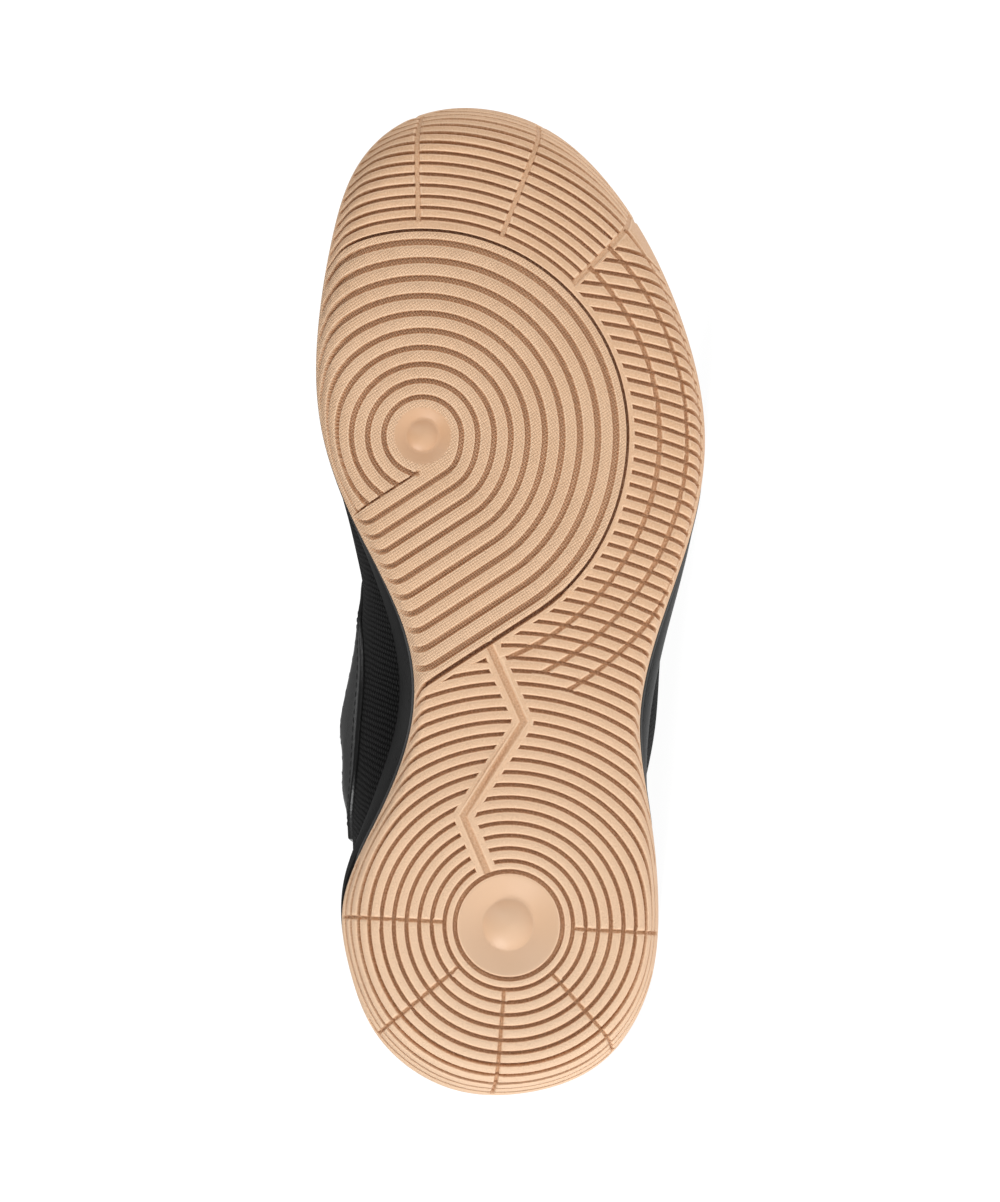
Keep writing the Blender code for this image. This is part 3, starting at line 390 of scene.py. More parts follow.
def mixed(values, near, share):
    """Values of the border between the nearest sample and its neighbour."""
    other = (near + np.where(share > 0, 1, -1)) % len(values)
    part = np.abs(share) if values.ndim == 1 else np.abs(share)[:, None]
    return values[near] * (1 - part) + values[other] * part


def on_border(points):
    """For flat points: way out, edge radius, run past the border and room to the lip's top."""
    near = np.empty(len(points), int)
    for block in np.array_split(np.arange(len(points)), len(points) // SEARCH_BLOCK + 1):
        near[block] = ((points[block, None] - FINE.border[None]) ** 2).sum(axis=2).argmin(axis=1)
    step = (np.roll(FINE.border, -1, axis=0) - np.roll(FINE.border, 1, axis=0))[near] / 2
    bend = (np.roll(FINE.normal, -1, axis=0) - np.roll(FINE.normal, 1, axis=0))[near] / 2
    along = unit(step)
    offset = points - FINE.border[near]
    out = (offset * FINE.normal[near]).sum(axis=1)
    pace = length(step) + np.maximum(out, 0) * (bend * along).sum(axis=1)
    share = np.clip((offset * along).sum(axis=1) / np.maximum(pace, TINY), -1, 1)
    normal = unit(mixed(FINE.normal, near, share))
    run = ((points - mixed(FINE.border, near, share)) * normal).sum(axis=1)
    return normal, mixed(FINE.radius, near, share), run, mixed(FINE.run, near, share) - run


def edge_room(points):
    """How far flat points lie inside the lip's top."""
    return on_border(points)[3]


def wrap(points, depth):
    """Places flat points on the sole, sunk by depth along the surface's normal."""
    normal, radius, run, _ = on_border(points)
    run = np.maximum(run, 0)
    turned = np.minimum(run / radius, LIP_LEAN)
    rest = np.maximum(run - radius * LIP_LEAN, 0)
    out = radius * np.sin(turned) + rest * math.cos(LIP_LEAN)
    up = radius * (1 - np.cos(turned)) + rest * math.sin(LIP_LEAN)
    foot = points - normal * run[:, None]
    plan = foot + normal * (out - np.sin(turned) * depth)[:, None]
    return np.column_stack([plan, ground(foot) + up + np.cos(turned) * depth])


print("longest roll up the side:", round(float(FINE.run.max()), 1), "mm")

# %% [markdown]
# A basketball sole grips in every direction, so its grooves are circles round two pivot points, under the
# ball and under the heel. Each groove is a path with a width and a depth. It is cut only where it has
# room: off the sole's rim, the pad's slit and the zigzag flex line. Three nested outlines give it a
# rounded lip, a steep wall and a floor, and one constrained triangulation joins them all, so that the
# edges stay crisp at any size.

# %% Line tools
PIVOT = np.array((201.5, -27.0))
HEEL_PIVOT = np.array((52.2, -0.7))
CHORD_ERROR, LONGEST_STEP = 0.03, 4.0


def polar(centre, radius, turn):
    """Plan points round a pivot; the turn is 0 towards the outer side and a quarter towards the toe."""
    return np.stack([centre[0] + radius * np.sin(turn), centre[1] + radius * np.cos(turn)], axis=-1)


def distance_to_line(points, line):
    """Distance of plan points to a polyline."""
    best = np.full(len(points), np.inf)
    for a, b in zip(line[:-1], line[1:]):
        along = b - a
        share = np.clip(((points - a) @ along) / (along @ along), 0, 1)
        best = np.minimum(best, length(points - a - share[:, None] * along))
    return best


def runs_of(flags):
    """First and last index of each run of true flags."""
    edges = np.flatnonzero(np.diff(np.concatenate([[0], flags.astype(int), [0]])))
    return list(zip(edges[::2], edges[1::2] - 1))


def run_along(points, axis=0):
    """How far along its line each point lies, for one line or for all the lines of a grid."""
    steps = length(np.diff(points, axis=axis))
    start = np.zeros_like(steps.take([0], axis=axis))
    return np.concatenate([start, np.cumsum(steps, axis=axis)], axis=axis)


def at_run(line, run, at):
    """Points of a polyline where its run has given values."""
    return np.column_stack([np.interp(at, run, column) for column in line.T])


def resampled(points, step):
    """A row of points at even steps along a polyline."""
    run = run_along(points)
    at = np.linspace(0, run[-1], max(int(run[-1] / step), 2) + 1)
    return at_run(points, run, at)


def kept_points(points):
    """Indices of the points that keep a path's shape within the chord error."""
    kept, first = [0], 0
    while first < len(points) - 1:
        last = first + 1
        while last + 1 < len(points):
            chord = points[last + 1] - points[first]
            between = points[first + 1:last + 1] - points[first]
            share = (between @ chord) / (chord @ chord)
            off = length(between - np.outer(share, chord)).max()
            if off > CHORD_ERROR or np.linalg.norm(chord) > LONGEST_STEP:
                break
            last += 1
        kept.append(last)
        first = last
    return kept


print("line tools ready")

# %% [markdown]
# A groove's side is followed as far as it has room, and its end is put exactly where the room runs out. A
# disc is turned: circles with a depth at each radius.

# %% Grooves and discs
BEVEL, SHOULDER, DRAFT = 0.45, 0.26, 0.4
SAMPLE_STEP, SLANT_STEPS, SHORTEST_RUN, END_CLEAR = 0.7, 8, 3, 0.3
DISC_POINTS = 96
Contour = namedtuple("Contour", "points depth firm")
Disc = namedtuple("Disc", "centre profile clean")
contours, discs = [], []


def crossing(clear, inner, outer):
    """Where a clearance falls to nought between two neighbouring samples."""
    return inner + (outer - inner) * clear[inner] / (clear[inner] - clear[outer])


def side_of_groove(line, side, clear, kept):
    """One side of a groove: the kept points with room, and exact ends where the room runs out."""
    middle = kept[len(kept) // 2]
    if clear[middle] <= 0:
        return None
    first, last = max(kept[0] - SLANT_STEPS, 0), min(kept[-1] + SLANT_STEPS, len(line) - 1)
    low = high = middle
    while low > first and clear[low - 1] > 0:
        low -= 1
    while high < last and clear[high + 1] > 0:
        high += 1
    start = low if low == first else crossing(clear, low, low - 1)
    end = high if high == last else crossing(clear, high, high + 1)
    at = np.array([start] + [k for k in kept if start + END_CLEAR < k < end - END_CLEAR] + [end])
    return at_run(line + side, np.arange(len(line)), at)


def cut_groove(points, room, width, depth, bevel=BEVEL, draft=DRAFT, firm=False):
    """Adds a groove's outlines along a path, on each stretch where room(points) is positive.

    A firm groove keeps its depth up to the sole's rim; the others fade out there."""
    line = resampled(np.asarray(points, float), SAMPLE_STEP)
    along = unit(np.gradient(line, axis=0))
    across = np.column_stack([-along[:, 1], along[:, 0]])
    layers = ((width / 2 + bevel, -bevel, 0.0), (width / 2, 0.0, SHOULDER), (width / 2 - draft, draft, depth))
    clear = [[room(line + across * s * half) - inset for s in (1, -1)] for half, inset, _ in layers]
    for first, last in runs_of(np.minimum(*clear[1]) > 0):
        if last - first < SHORTEST_RUN:
            continue
        kept = [first + k for k in kept_points(wrap(line[first:last + 1], np.zeros(last - first + 1)))]
        for (half, _, deep), (left_clear, right_clear) in zip(layers, clear):
            left = side_of_groove(line, across * half, left_clear, kept)
            right = side_of_groove(line, -across * half, right_clear, kept)
            if left is None or right is None:
                break
            contours.append(Contour(np.concatenate([left, right[::-1]]), deep, firm))


def cut_disc(centre, clean, *profile):
    """Adds a turned form: each step is a radius and its depth. No shade is painted inside the radius given
    before the steps.
    """
    discs.append(Disc(centre, np.array(profile), clean))
    turn = -np.arange(DISC_POINTS) * FULL_TURN / DISC_POINTS
    for radius, _ in profile:
        contours.append(Contour(polar(centre, radius, turn), 0.0, True))


print("groove tools ready")

# %% [markdown]
# The forefoot pad holds ten rings round the ball's pivot. On the outer side they leave their circles and
# run off together to the inner edge, where they turn outwards and fade. A narrow slit, the deepest cut in
# the sole, follows the outermost ring and parts the pad from the rest of the tread.

# %% Forefoot pad
PAD_RADIUS, PAD_SLIT, PAD_SLIT_DEPTH = 62.8, 0.95, 2.1
PIVOT_RINGS, PIVOT_RING_FIRST, PIVOT_RING_PITCH, PIVOT_RING_GROWTH = 10, 11.9, 4.95, 0.076
PIVOT_GROOVE, PIVOT_GROOVE_GROWTH, PIVOT_GROOVE_DEPTH = 1.75, 0.04, 1.7
TAIL_TURN, TAIL_FROM, TAIL_SWELL = math.radians(-57), math.radians(-5), 1.4
TAIL_EDGE, TAIL_EDGE_GROOVE, TAIL_LENGTH = 8.5, 0.9, 100.0
TAIL_SLIT, TAIL_SLIT_DEPTH, TAIL_STEP = 1.55, 2.2, 0.5
SLIT_BEVEL, SLIT_DRAFT = 0.3, 0.15
RING_POINTS = 240
SLIT_STOP, TAIL_SLIT_START = RING_POINTS - 8, RING_POINTS - 16
HOOK_ROOM, HOOK_RUN, HOOK_WAY = 11.0, 7.0, np.array((0.0, -1.0))
PAD_MARGIN, SLIT_MARGIN = 1.2, 0.2
PIVOT_DISH = 8.7
PIVOT_PROFILE = (
    (0.4, 0.03), (1.2, 0.12), (2.4, 0.4), (3.6, 0.9), (4.3, 1.32), (4.6, 1.52), (4.8, 1.59), (5.5, 1.56),
    (5.75, 1.42), (6.6, 1.0), (7.6, 0.52), (8.4, 0.19), (8.9, 0.06), (9.6, 0.01), (10.3, 0.0),
)
TAIL_WAY = np.array((-math.cos(TAIL_TURN), math.sin(TAIL_TURN)))
TAIL_ACROSS = np.array((math.sin(TAIL_TURN), math.cos(TAIL_TURN)))


def pad_room(points):
    """How far points lie outside the pad's slit."""
    offset = points - PIVOT
    turn = np.arctan2(offset[:, 0], offset[:, 1])
    swell = TAIL_SWELL * (1 - smooth_step(turn, TAIL_TURN, TAIL_FROM)) * (turn > 2 * TAIL_TURN)
    in_tail = offset @ TAIL_WAY > 0
    reach = np.where(in_tail, offset @ TAIL_ACROSS, length(offset))
    return reach - PAD_RADIUS - np.where(in_tail, TAIL_SWELL, swell)


def pad_ring(radius, hook=True):
    """A ring of the pad: from the inner side over the toe to the outer side, then off in a tail."""
    first = FULL_TURN + TAIL_TURN - math.acos(TAIL_EDGE / radius)
    turn = np.linspace(first, TAIL_TURN, RING_POINTS)
    swell = TAIL_SWELL * (1 - smooth_step(turn, TAIL_TURN, TAIL_FROM))
    ring = polar(PIVOT, radius + swell, turn)
    tail = ring[-1] + np.outer(np.arange(1, TAIL_LENGTH / TAIL_STEP) * TAIL_STEP, TAIL_WAY)
    if hook:
        near_edge = np.flatnonzero(edge_room(tail) < HOOK_ROOM)
        start = near_edge[0] * TAIL_STEP if len(near_edge) else TAIL_LENGTH
        bend = smooth_step(np.arange(len(tail)) * TAIL_STEP, start, start + HOOK_RUN)[:, None]
        ways = unit(TAIL_WAY * (1 - bend) + HOOK_WAY * bend)
        tail = ring[-1] + np.cumsum(ways * TAIL_STEP, axis=0)
    return np.concatenate([ring, tail])


def room_off_rim(margin):
    """A measure of the room that points have to the sole's rim, less a margin."""
    return lambda points: edge_room(points) - margin


pad_margin, slit_margin = room_off_rim(PAD_MARGIN), room_off_rim(SLIT_MARGIN)
slit = pad_ring(PAD_RADIUS, hook=False)
cut_groove(slit[:SLIT_STOP], slit_margin, PAD_SLIT, PAD_SLIT_DEPTH, SLIT_BEVEL, SLIT_DRAFT, firm=True)
cut_groove(slit[TAIL_SLIT_START:], slit_margin, TAIL_SLIT, TAIL_SLIT_DEPTH, firm=True)
for i in range(PIVOT_RINGS):
    ring_radius = PIVOT_RING_FIRST + PIVOT_RING_PITCH * i + PIVOT_RING_GROWTH * i * (i - 1) / 2
    ring_width = PIVOT_GROOVE + PIVOT_GROOVE_GROWTH * i
    cut_groove(pad_ring(ring_radius), pad_margin, ring_width, PIVOT_GROOVE_DEPTH)
cut_start = PIVOT + TAIL_ACROSS * TAIL_EDGE + TAIL_WAY * TAIL_EDGE
tail_cut = [cut_start, cut_start + TAIL_WAY * TAIL_LENGTH]
cut_groove(tail_cut, pad_margin, TAIL_EDGE_GROOVE, PIVOT_GROOVE_DEPTH)
cut_disc(PIVOT, PIVOT_PROFILE[-1][0], *PIVOT_PROFILE)
print(len(contours), "outlines on the pad")

# %% [markdown]
# Rings round the heel pivot carry on through the waist and along the outer forefoot, crossed by five
# rays. A zigzag flex line will run from the pad to the heel disc, and every rib stops short of it, with
# an end cut parallel to it. The ribs stop at the pad and at the first toe ray as well.

# %% Heel, waist and outer side
HEEL_RINGS, HEEL_RING_FIRST, HEEL_RING_PITCH = 50, 19.67, 3.867
HEEL_GROOVE, HEEL_GROOVE_DEPTH = 1.4, 1.75
HEEL_DISC = 15.5
HEEL_PROFILE = (
    (0.6, 0.4), (2.2, 0.64), (4.0, 1.17), (5.4, 1.8), (6.6, 2.5), (7.4, 3.02), (7.75, 3.26), (8.0, 3.3),
    (8.3, 3.23), (9.5, 2.75), (11.0, 2.13), (12.5, 1.5), (14.0, 0.87), (15.0, 0.46), (15.4, 0.36),
    (15.75, 0.5), (15.95, 1.7), (16.95, 1.7), (17.2, 0.26), (17.7, 0.0),
)
HEEL_RAYS, HEEL_RAY_GROOVE, HEEL_RAY_DEPTH = (177.0, 219.5, 265.75, 311.75, 356.75), 1.4, 1.1
TOE_RAYS = (45.25, 68.25, 91.0)
FLEX_GROOVE, FLEX_RIM = 2.2, 1.9
FLEX_LINE = np.array(((138.6, -7.0), (114.3, 4.0), (85.6, -14.6), (67.6, -6.9)))
SLOT_OFF_PAD, SLOT_OFF_RAY = 2.0, 1.6
HEEL_MARGIN, OUTER_MARGIN, OUTER_ENDS = 0.8, 1.8, (116, 136)
RING_SAMPLES = 721


def heel_ring_radius(number):
    return HEEL_RING_FIRST + HEEL_RING_PITCH * number


def ray_room(points):
    """How far points lie behind the first toe ray."""
    turn = math.radians(TOE_RAYS[0])
    return (points - PIVOT) @ np.array((-math.cos(turn), math.sin(turn)))


def rib_room(points):
    """Room for the ribs: off the rim, the flex line, the pad and the first toe ray."""
    outer = smooth_step(points[:, 0], *OUTER_ENDS) * (points[:, 1] > 0)
    room = edge_room(points) - HEEL_MARGIN - (OUTER_MARGIN - HEEL_MARGIN) * outer
    flex = distance_to_line(points, FLEX_LINE) - FLEX_GROOVE / 2 - FLEX_RIM
    ray = ray_room(points) - SLOT_OFF_RAY
    return np.minimum.reduce([room, flex, pad_room(points) - SLOT_OFF_PAD, ray])


def ring_round_heel(radius):
    """A ring that starts where the flex line crosses it, so that its two ends never meet on a land."""
    turn = np.linspace(-math.pi / 2, math.pi * 1.5, RING_SAMPLES)
    start = turn[np.argmin(distance_to_line(polar(HEEL_PIVOT, radius, turn), FLEX_LINE))]
    return polar(HEEL_PIVOT, radius, start + np.linspace(0, FULL_TURN, RING_SAMPLES))


rim_room = room_off_rim(HEEL_MARGIN)
cut_disc(HEEL_PIVOT, HEEL_DISC, *HEEL_PROFILE)
for i in range(HEEL_RINGS):
    cut_groove(ring_round_heel(heel_ring_radius(i)), rib_room, HEEL_GROOVE, HEEL_GROOVE_DEPTH)
for degrees in HEEL_RAYS:
    ends = polar(HEEL_PIVOT, np.array((HEEL_RING_FIRST, LENGTH / 3)), math.radians(degrees))
    cut_groove(ends, rim_room, HEEL_RAY_GROOVE, HEEL_RAY_DEPTH)
print(len(contours), "outlines with the heel's")

# %% [markdown]
# The toe's ribs circle the ball's pivot again. Three shallow rays part them into blocks, and the ribs end
# at the rays' walls. Three rows, also round that pivot, cut the ribs of the outer forefoot into blocks.

# %% Toe and outer rows
TOE_RAY_GROOVE, TOE_RAY_DEPTH, TOE_RAY_OFF_SLIT = 2.0, 0.6, 2.7
TOE_ARCS, TOE_ARC_FIRST, TOE_ARC_PITCH, TOE_ARC_GROOVE = 15, 66.3, 3.4, 1.2
TOE_ARC_END, TOE_ARC_SAMPLES = 165, 300
EDGE_ROWS = ((72.5, 16), (81.0, 15), (89.4, 14))
EDGE_ROW_GROOVE, EDGE_ROW_DEPTH = 1.6, 1.25
EDGE_ROW_END, EDGE_ROW_SAMPLES = -75, 400


def ray_distance(points):
    """Distance of plan points to the nearest toe ray."""
    turn = np.radians(TOE_RAYS)
    way = np.column_stack([np.sin(turn), np.cos(turn)])
    offset = points - PIVOT
    across = np.abs(np.outer(offset[:, 0], way[:, 1]) - np.outer(offset[:, 1], way[:, 0]))
    return np.where(offset @ way.T > 0, across, np.inf).min(axis=1)


def toe_room(points):
    """Room for the toe's grooves, which end at the rays' walls."""
    return np.minimum(rim_room(points), ray_distance(points) - TOE_RAY_GROOVE / 2 + DRAFT)


def row_room(stop):
    """A measure of the room of an outer row, which ends at a ring round the heel."""
    return lambda points: np.minimum(rim_room(points), length(points - HEEL_PIVOT) - stop)


for degrees in TOE_RAYS:
    ends = polar(PIVOT, np.array((PAD_RADIUS + TOE_RAY_OFF_SLIT, LENGTH / 2)), math.radians(degrees))
    cut_groove(ends, rim_room, TOE_RAY_GROOVE, TOE_RAY_DEPTH, firm=True)
toe_turn = np.radians(np.linspace(TOE_RAYS[0], TOE_ARC_END, TOE_ARC_SAMPLES))
for i in range(TOE_ARCS):
    arc = polar(PIVOT, TOE_ARC_FIRST + TOE_ARC_PITCH * i, toe_turn)
    cut_groove(arc, toe_room, TOE_ARC_GROOVE, HEEL_GROOVE_DEPTH)
row_turn = np.radians(np.linspace(TOE_RAYS[0], EDGE_ROW_END, EDGE_ROW_SAMPLES))
for radius, last_ring in EDGE_ROWS:
    room = row_room(heel_ring_radius(last_ring))
    cut_groove(polar(PIVOT, radius, row_turn), room, EDGE_ROW_GROOVE, EDGE_ROW_DEPTH)
print(len(contours), "outlines with the toe's")

# %% [markdown]
# The flex line is one mitred zigzag of its own, wider and shallower than a groove. The slot between its
# end and the pad is too short for a groove, so it is drawn as a small triangle.

# %% Flex line
FLEX_DEPTH = 0.75
LAST_SLOT = np.array(((132.1, -11.0), (133.9, -7.5), (132.2, -6.9)))
LIP_SCALE, WALL_SCALE, FLOOR_SCALE = 1.5, 1.0, 0.5
flex_steps = unit(np.diff(FLEX_LINE, axis=0))
flex_sides = np.column_stack([-flex_steps[:, 1], flex_steps[:, 0]])
mitres = [(a + b) / (1 + a @ b) for a, b in zip(flex_sides[:-1], flex_sides[1:])]
flex_across = np.array([flex_sides[0], *mitres, flex_sides[-1]])
for more, deep in ((BEVEL, 0.0), (0.0, SHOULDER), (-DRAFT, FLEX_DEPTH)):
    side = flex_across * (FLEX_GROOVE / 2 + more)
    contours.append(Contour(np.concatenate([FLEX_LINE + side, (FLEX_LINE - side)[::-1]]), deep, True))
last_middle = LAST_SLOT.mean(axis=0)
for scale, deep in ((LIP_SCALE, 0.0), (WALL_SCALE, SHOULDER), (FLOOR_SCALE, HEEL_GROOVE_DEPTH)):
    contours.append(Contour(last_middle + (LAST_SLOT - last_middle) * scale, deep, True))
print(len(contours), "outlines in all")

# %% [markdown]
# Every piece of the shoe is a closed mesh. Rows of points round it are bridged in turn, and its open ends
# are filled by a triangulated surface. One function turns points and faces into a piece with its
# materials, its own map and the values that its materials read.

# %% Mesh helpers
SHARP_ANGLE, FILL_CLEAR = 38.0, 0.45


def make_piece(name, points, faces, materials, face_material=None, uv=None, values=None, sharp=SHARP_ANGLE):
    """A closed mesh in the shoe's frame, with outward faces, its own UV map and point values."""
    mesh = bpy.data.meshes.new(name)
    mesh.from_pydata(place(points).tolist(), [], [[int(i) for i in face] for face in faces])
    for material in materials:
        mesh.materials.append(material)
    if face_material is not None:
        mesh.polygons.foreach_set("material_index", np.asarray(face_material, np.int32))
    if uv is not None:
        corner = np.empty(len(mesh.loops), np.int32)
        mesh.loops.foreach_get("vertex_index", corner)
        layer = mesh.uv_layers.new(name="plan")
        layer.data.foreach_set("uv", (np.asarray(uv)[corner] * MM).astype(np.float32).ravel())
    for key, value in (values or {}).items():
        attribute = mesh.attributes.new(key, "FLOAT", "POINT")
        attribute.data.foreach_set("value", np.asarray(value, np.float32))
    work = bmesh.new()
    work.from_mesh(mesh)
    bmesh.ops.recalc_face_normals(work, faces=work.faces)
    work.to_mesh(mesh)
    work.free()
    mesh.shade_smooth()
    mesh.set_sharp_from_angle(angle=math.radians(sharp))
    return new_object(name, mesh)


def inside(points, polygon):
    """Which plan points lie inside a polygon."""
    found = np.zeros(len(points), bool)
    for a, b in zip(polygon, np.roll(polygon, -1, axis=0)):
        spans = (a[1] > points[:, 1]) != (b[1] > points[:, 1])
        cross = a[0] + (points[:, 1] - a[1]) * (b[0] - a[0]) / (b[1] - a[1] if b[1] != a[1] else 1)
        found ^= spans & (points[:, 0] < cross)
    return found


def fill_loop(points, loop, height, spacing):
    """Closes a loop with a surface at height(plan). Returns the points with new ones, and the triangles."""
    border = points[loop][:, :2]
    axes = [np.arange(a + spacing / 2, b, spacing) for a, b in zip(border.min(axis=0), border.max(axis=0))]
    grid = np.stack(np.meshgrid(*axes), axis=-1).reshape(-1, 2)
    grid = grid[inside(grid, border)]
    grid = grid[length(grid[:, None] - border[None]).min(axis=1) > spacing * FILL_CLEAR]
    sides = [(i, (i + 1) % len(loop)) for i in range(len(loop))]
    found = geometry.delaunay_2d_cdt([Vector(p) for p in np.concatenate([border, grid])], sides, [], 1, TINY)
    index = np.concatenate([loop, len(points) + np.arange(len(grid))])
    points = np.concatenate([points, np.column_stack([grid, height(grid)])])
    return points, [tuple(index[list(t)]) for t in found[2]]


def bridge(low, high, closed=True):
    """Four-sided faces between two rows of the same count."""
    count = len(low)
    last = count if closed else count - 1
    return [(low[i], low[(i + 1) % count], high[(i + 1) % count], high[i]) for i in range(last)]


def row_loops(rows):
    """Index loops of stacked rows, and the faces between them."""
    count = len(rows[0])
    loops = [np.arange(count) + count * i for i in range(len(rows))]
    faces = [face for low, high in zip(loops[:-1], loops[1:]) for face in bridge(low, high)]
    return loops, faces


print("mesh helpers ready")

# %% [markdown]
# Now the drawing becomes a surface. The triangulation says which outlines hold each triangle, and the
# deepest one sets its depth. Extra points on the open lands let them follow the toe spring and the rolled
# edge.

# %% Tread mesh
LAND_GRID, LAND_ROW, LAND_CLEAR, LAND_OFF_RIM = 2.3, 0.866, 0.42, 0.7
FADE_RUN, TAIL_FADE, FADED_SHADE = 2.2, 6.0, 0.35
TAILS_FROM, TAILS_TO = (112, 126), (205, 235)
NOTCH_HALF, NOTCH_POINTS = 1.5, 9
WELD = 1e-5
Tread = namedtuple("Tread", "flat depth stain faces lip")


def counter_clockwise(points):
    x, y = points[:, 0], points[:, 1]
    return points if (x * np.roll(y, -1) - np.roll(x, -1) * y).sum() > 0 else points[::-1]


def land_points(rim):
    """Points on open land and on wide floors, clear of every outline."""
    low, high = rim.min(axis=0), rim.max(axis=0)
    rows = np.arange(low[0], high[0], LAND_GRID * LAND_ROW)
    found = []
    for number, x in enumerate(rows):
        y = np.arange(low[1] + LAND_GRID / 2 * (number % 2), high[1], LAND_GRID)
        found.append(np.column_stack([np.full(len(y), x), y]))
    found = np.concatenate(found)
    found = found[edge_room(found) > LAND_OFF_RIM]
    dense = [resampled(np.concatenate([c.points, c.points[:1]]), LAND_CLEAR) for c in contours]
    dense = np.concatenate(dense)
    tree = KDTree(len(dense))
    for number, point in enumerate(dense):
        tree.insert((*point, 0), number)
    tree.balance()
    clear = [tree.find((*point, 0))[2] > LAND_CLEAR for point in found]
    return found[np.array(clear)]


def notched_edge():
    """The sole's edge with extra samples where the toe rays leave it."""
    angle = RIM.angle
    near = ray_distance(RIM.outline) < NOTCH_HALF * 2
    step = FULL_TURN / AROUND
    extra = (angle[near, None] + step * np.arange(1, NOTCH_POINTS) / NOTCH_POINTS).ravel()
    return SoleEdge(np.sort(np.concatenate([angle, extra])))


def tread_mesh(edge):
    """Flat places, depths, depths for the painted shade of the floors, triangles and the loop at the lip's
    top.
    """
    rim = edge.border + edge.normal * edge.run[:, None]
    plan, shapes, depths, firm = [*rim], [list(range(len(rim)))], [0.0], [False]
    for contour in contours:
        shapes.append(list(range(len(plan), len(plan) + len(contour.points))))
        plan.extend(counter_clockwise(contour.points))
        depths.append(contour.depth)
        firm.append(contour.firm)
    plan.extend(land_points(rim))
    found = geometry.delaunay_2d_cdt([Vector(p) for p in plan], [], shapes, 0, WELD)
    flat = np.array([tuple(c) for c in found[0]])
    kept = [(t, held) for t, held in zip(found[2], found[5]) if 0 in held]
    faces = [t for t, _ in kept]
    # Besides its depth, each point keeps the deepest outline round it, which drives the painted shade of the
    # floors.
    shade_depth, steady = np.zeros(len(flat)), np.zeros(len(flat))
    for triangle, held in kept:
        deep = max((depths[f] for f in held), default=0.0)
        kept_deep = max((depths[f] for f in held if firm[f]), default=0.0)
        for i in triangle:
            shade_depth[i] = max(shade_depth[i], deep)
            steady[i] = max(steady[i], kept_deep)
    x, y = flat.T
    on_tails = (y < 0) * smooth_step(x, *TAILS_FROM) * (1 - smooth_step(x, *TAILS_TO))
    fade = smooth_step(edge_room(flat) / (FADE_RUN + TAIL_FADE * on_tails), 0, 1)
    depth = np.maximum(steady, shade_depth * fade)
    # Where a tail fades out at the rim, its painted shade keeps part of its strength.
    shade_depth = np.maximum(steady, shade_depth * (1 - (1 - FADED_SHADE) * on_tails * (1 - fade)))
    # Inside a disc the painted shade follows the disc's form, except in its plain middle.
    for disc in discs:
        radius = length(flat - disc.centre)
        form = np.interp(radius, *disc.profile.T)
        depth = np.where(radius < disc.profile[-1, 0], np.maximum(form, shade_depth), depth)
        shade_depth = np.where(radius < disc.profile[-1, 0], depth * (radius > disc.clean), shade_depth)
    spot = {source: i for i, held in enumerate(found[3]) for source in held if source < len(rim)}
    lip = np.array([spot[i] for i in range(len(rim))])
    return Tread(flat, depth, shade_depth, faces, lip)


cup_edge = notched_edge()
tread = tread_mesh(cup_edge)
print("tread:", len(tread.flat), "points and", len(tread.faces), "triangles")

# %% [markdown]
# All materials are built from nodes. A small helper adds a node, sets its options and either fills or
# links its inputs, so that a material reads as a list of steps. It serves Geometry Nodes trees as well.

# %% Node helpers
def add(tree, kind, inputs=None, **options):
    node = tree.nodes.new(kind)
    for name, value in options.items():
        setattr(node, name, value)
    for key, value in (inputs or {}).items():
        if isinstance(value, bpy.types.NodeSocket):
            tree.links.new(value, node.inputs[key])
        else:
            node.inputs[key].default_value = value
    return node


def start_material(name, roughness, **fixed):
    """A new material with its shader's constant inputs set."""
    material = bpy.data.materials.new(name)
    material.use_nodes = True
    shader = material.node_tree.nodes["Principled BSDF"]
    shader.inputs["Roughness"].default_value = roughness
    for key, value in fixed.items():
        shader.inputs[key.replace("_", " ")].default_value = value
    return material, material.node_tree, shader


def ramp(tree, factor, *stops):
    """A colour ramp: each stop is a place and a linear colour."""
    node = add(tree, "ShaderNodeValToRGB", {"Fac": factor})
    steps = node.color_ramp.elements
    while len(steps) < len(stops):
        steps.new(0.5)
    for step, (at, colour) in zip(steps, stops):
        step.position = at
        step.color = (*colour, 1)
    return node.outputs["Color"]


def maths(tree, operation, *values):
    return add(tree, "ShaderNodeMath", dict(enumerate(values)), operation=operation).outputs[0]


def mixed_colour(tree, factor, first, second):
    inputs = {"Factor": factor, "A": first, "B": second}
    return add(tree, "ShaderNodeMix", inputs, data_type="RGBA").outputs["Result"]


print("node helpers ready")

# %% [markdown]
# Most materials share a few steps: a noise, a value or a map of the mesh, a link to the shader's colour,
# and a height that tilts the shading. Colours are given as on a screen.

# %% Material steps
def noise(tree, where, scale, detail=2.0):
    return add(tree, "ShaderNodeTexNoise", {"Vector": where, "Scale": scale, "Detail": detail}).outputs["Fac"]


def point_value(tree, key):
    """A value that the mesh holds at every point."""
    return add(tree, "ShaderNodeAttribute", attribute_name=key).outputs["Fac"]


def axes_of(tree, where):
    return add(tree, "ShaderNodeSeparateXYZ", {"Vector": where}).outputs


def plan_millimetres(tree):
    """The piece's own flat map, in millimetres."""
    plan = add(tree, "ShaderNodeUVMap", uv_map="plan").outputs["UV"]
    return add(tree, "ShaderNodeMapping", {"Vector": plan, "Scale": (1 / MM, 1 / MM, 1)}).outputs[0]


def paint(tree, shader, colour):
    tree.links.new(colour, shader.inputs["Base Color"])


def bump(tree, shader, height):
    """Lets a height in millimetres tilt the surface's shading."""
    node = add(tree, "ShaderNodeBump", {"Height": height, "Distance": MM, "Strength": 1.0})
    tree.links.new(node.outputs["Normal"], shader.inputs["Normal"])


def linear(*screen):
    """A screen colour as the linear colour that shaders take."""
    shares = [value / 255 for value in screen]
    return tuple(s / 12.92 if s <= 0.04045 else ((s + 0.055) / 1.055) ** 2.4 for s in shares)


def grey(value):
    return (value, value, value)


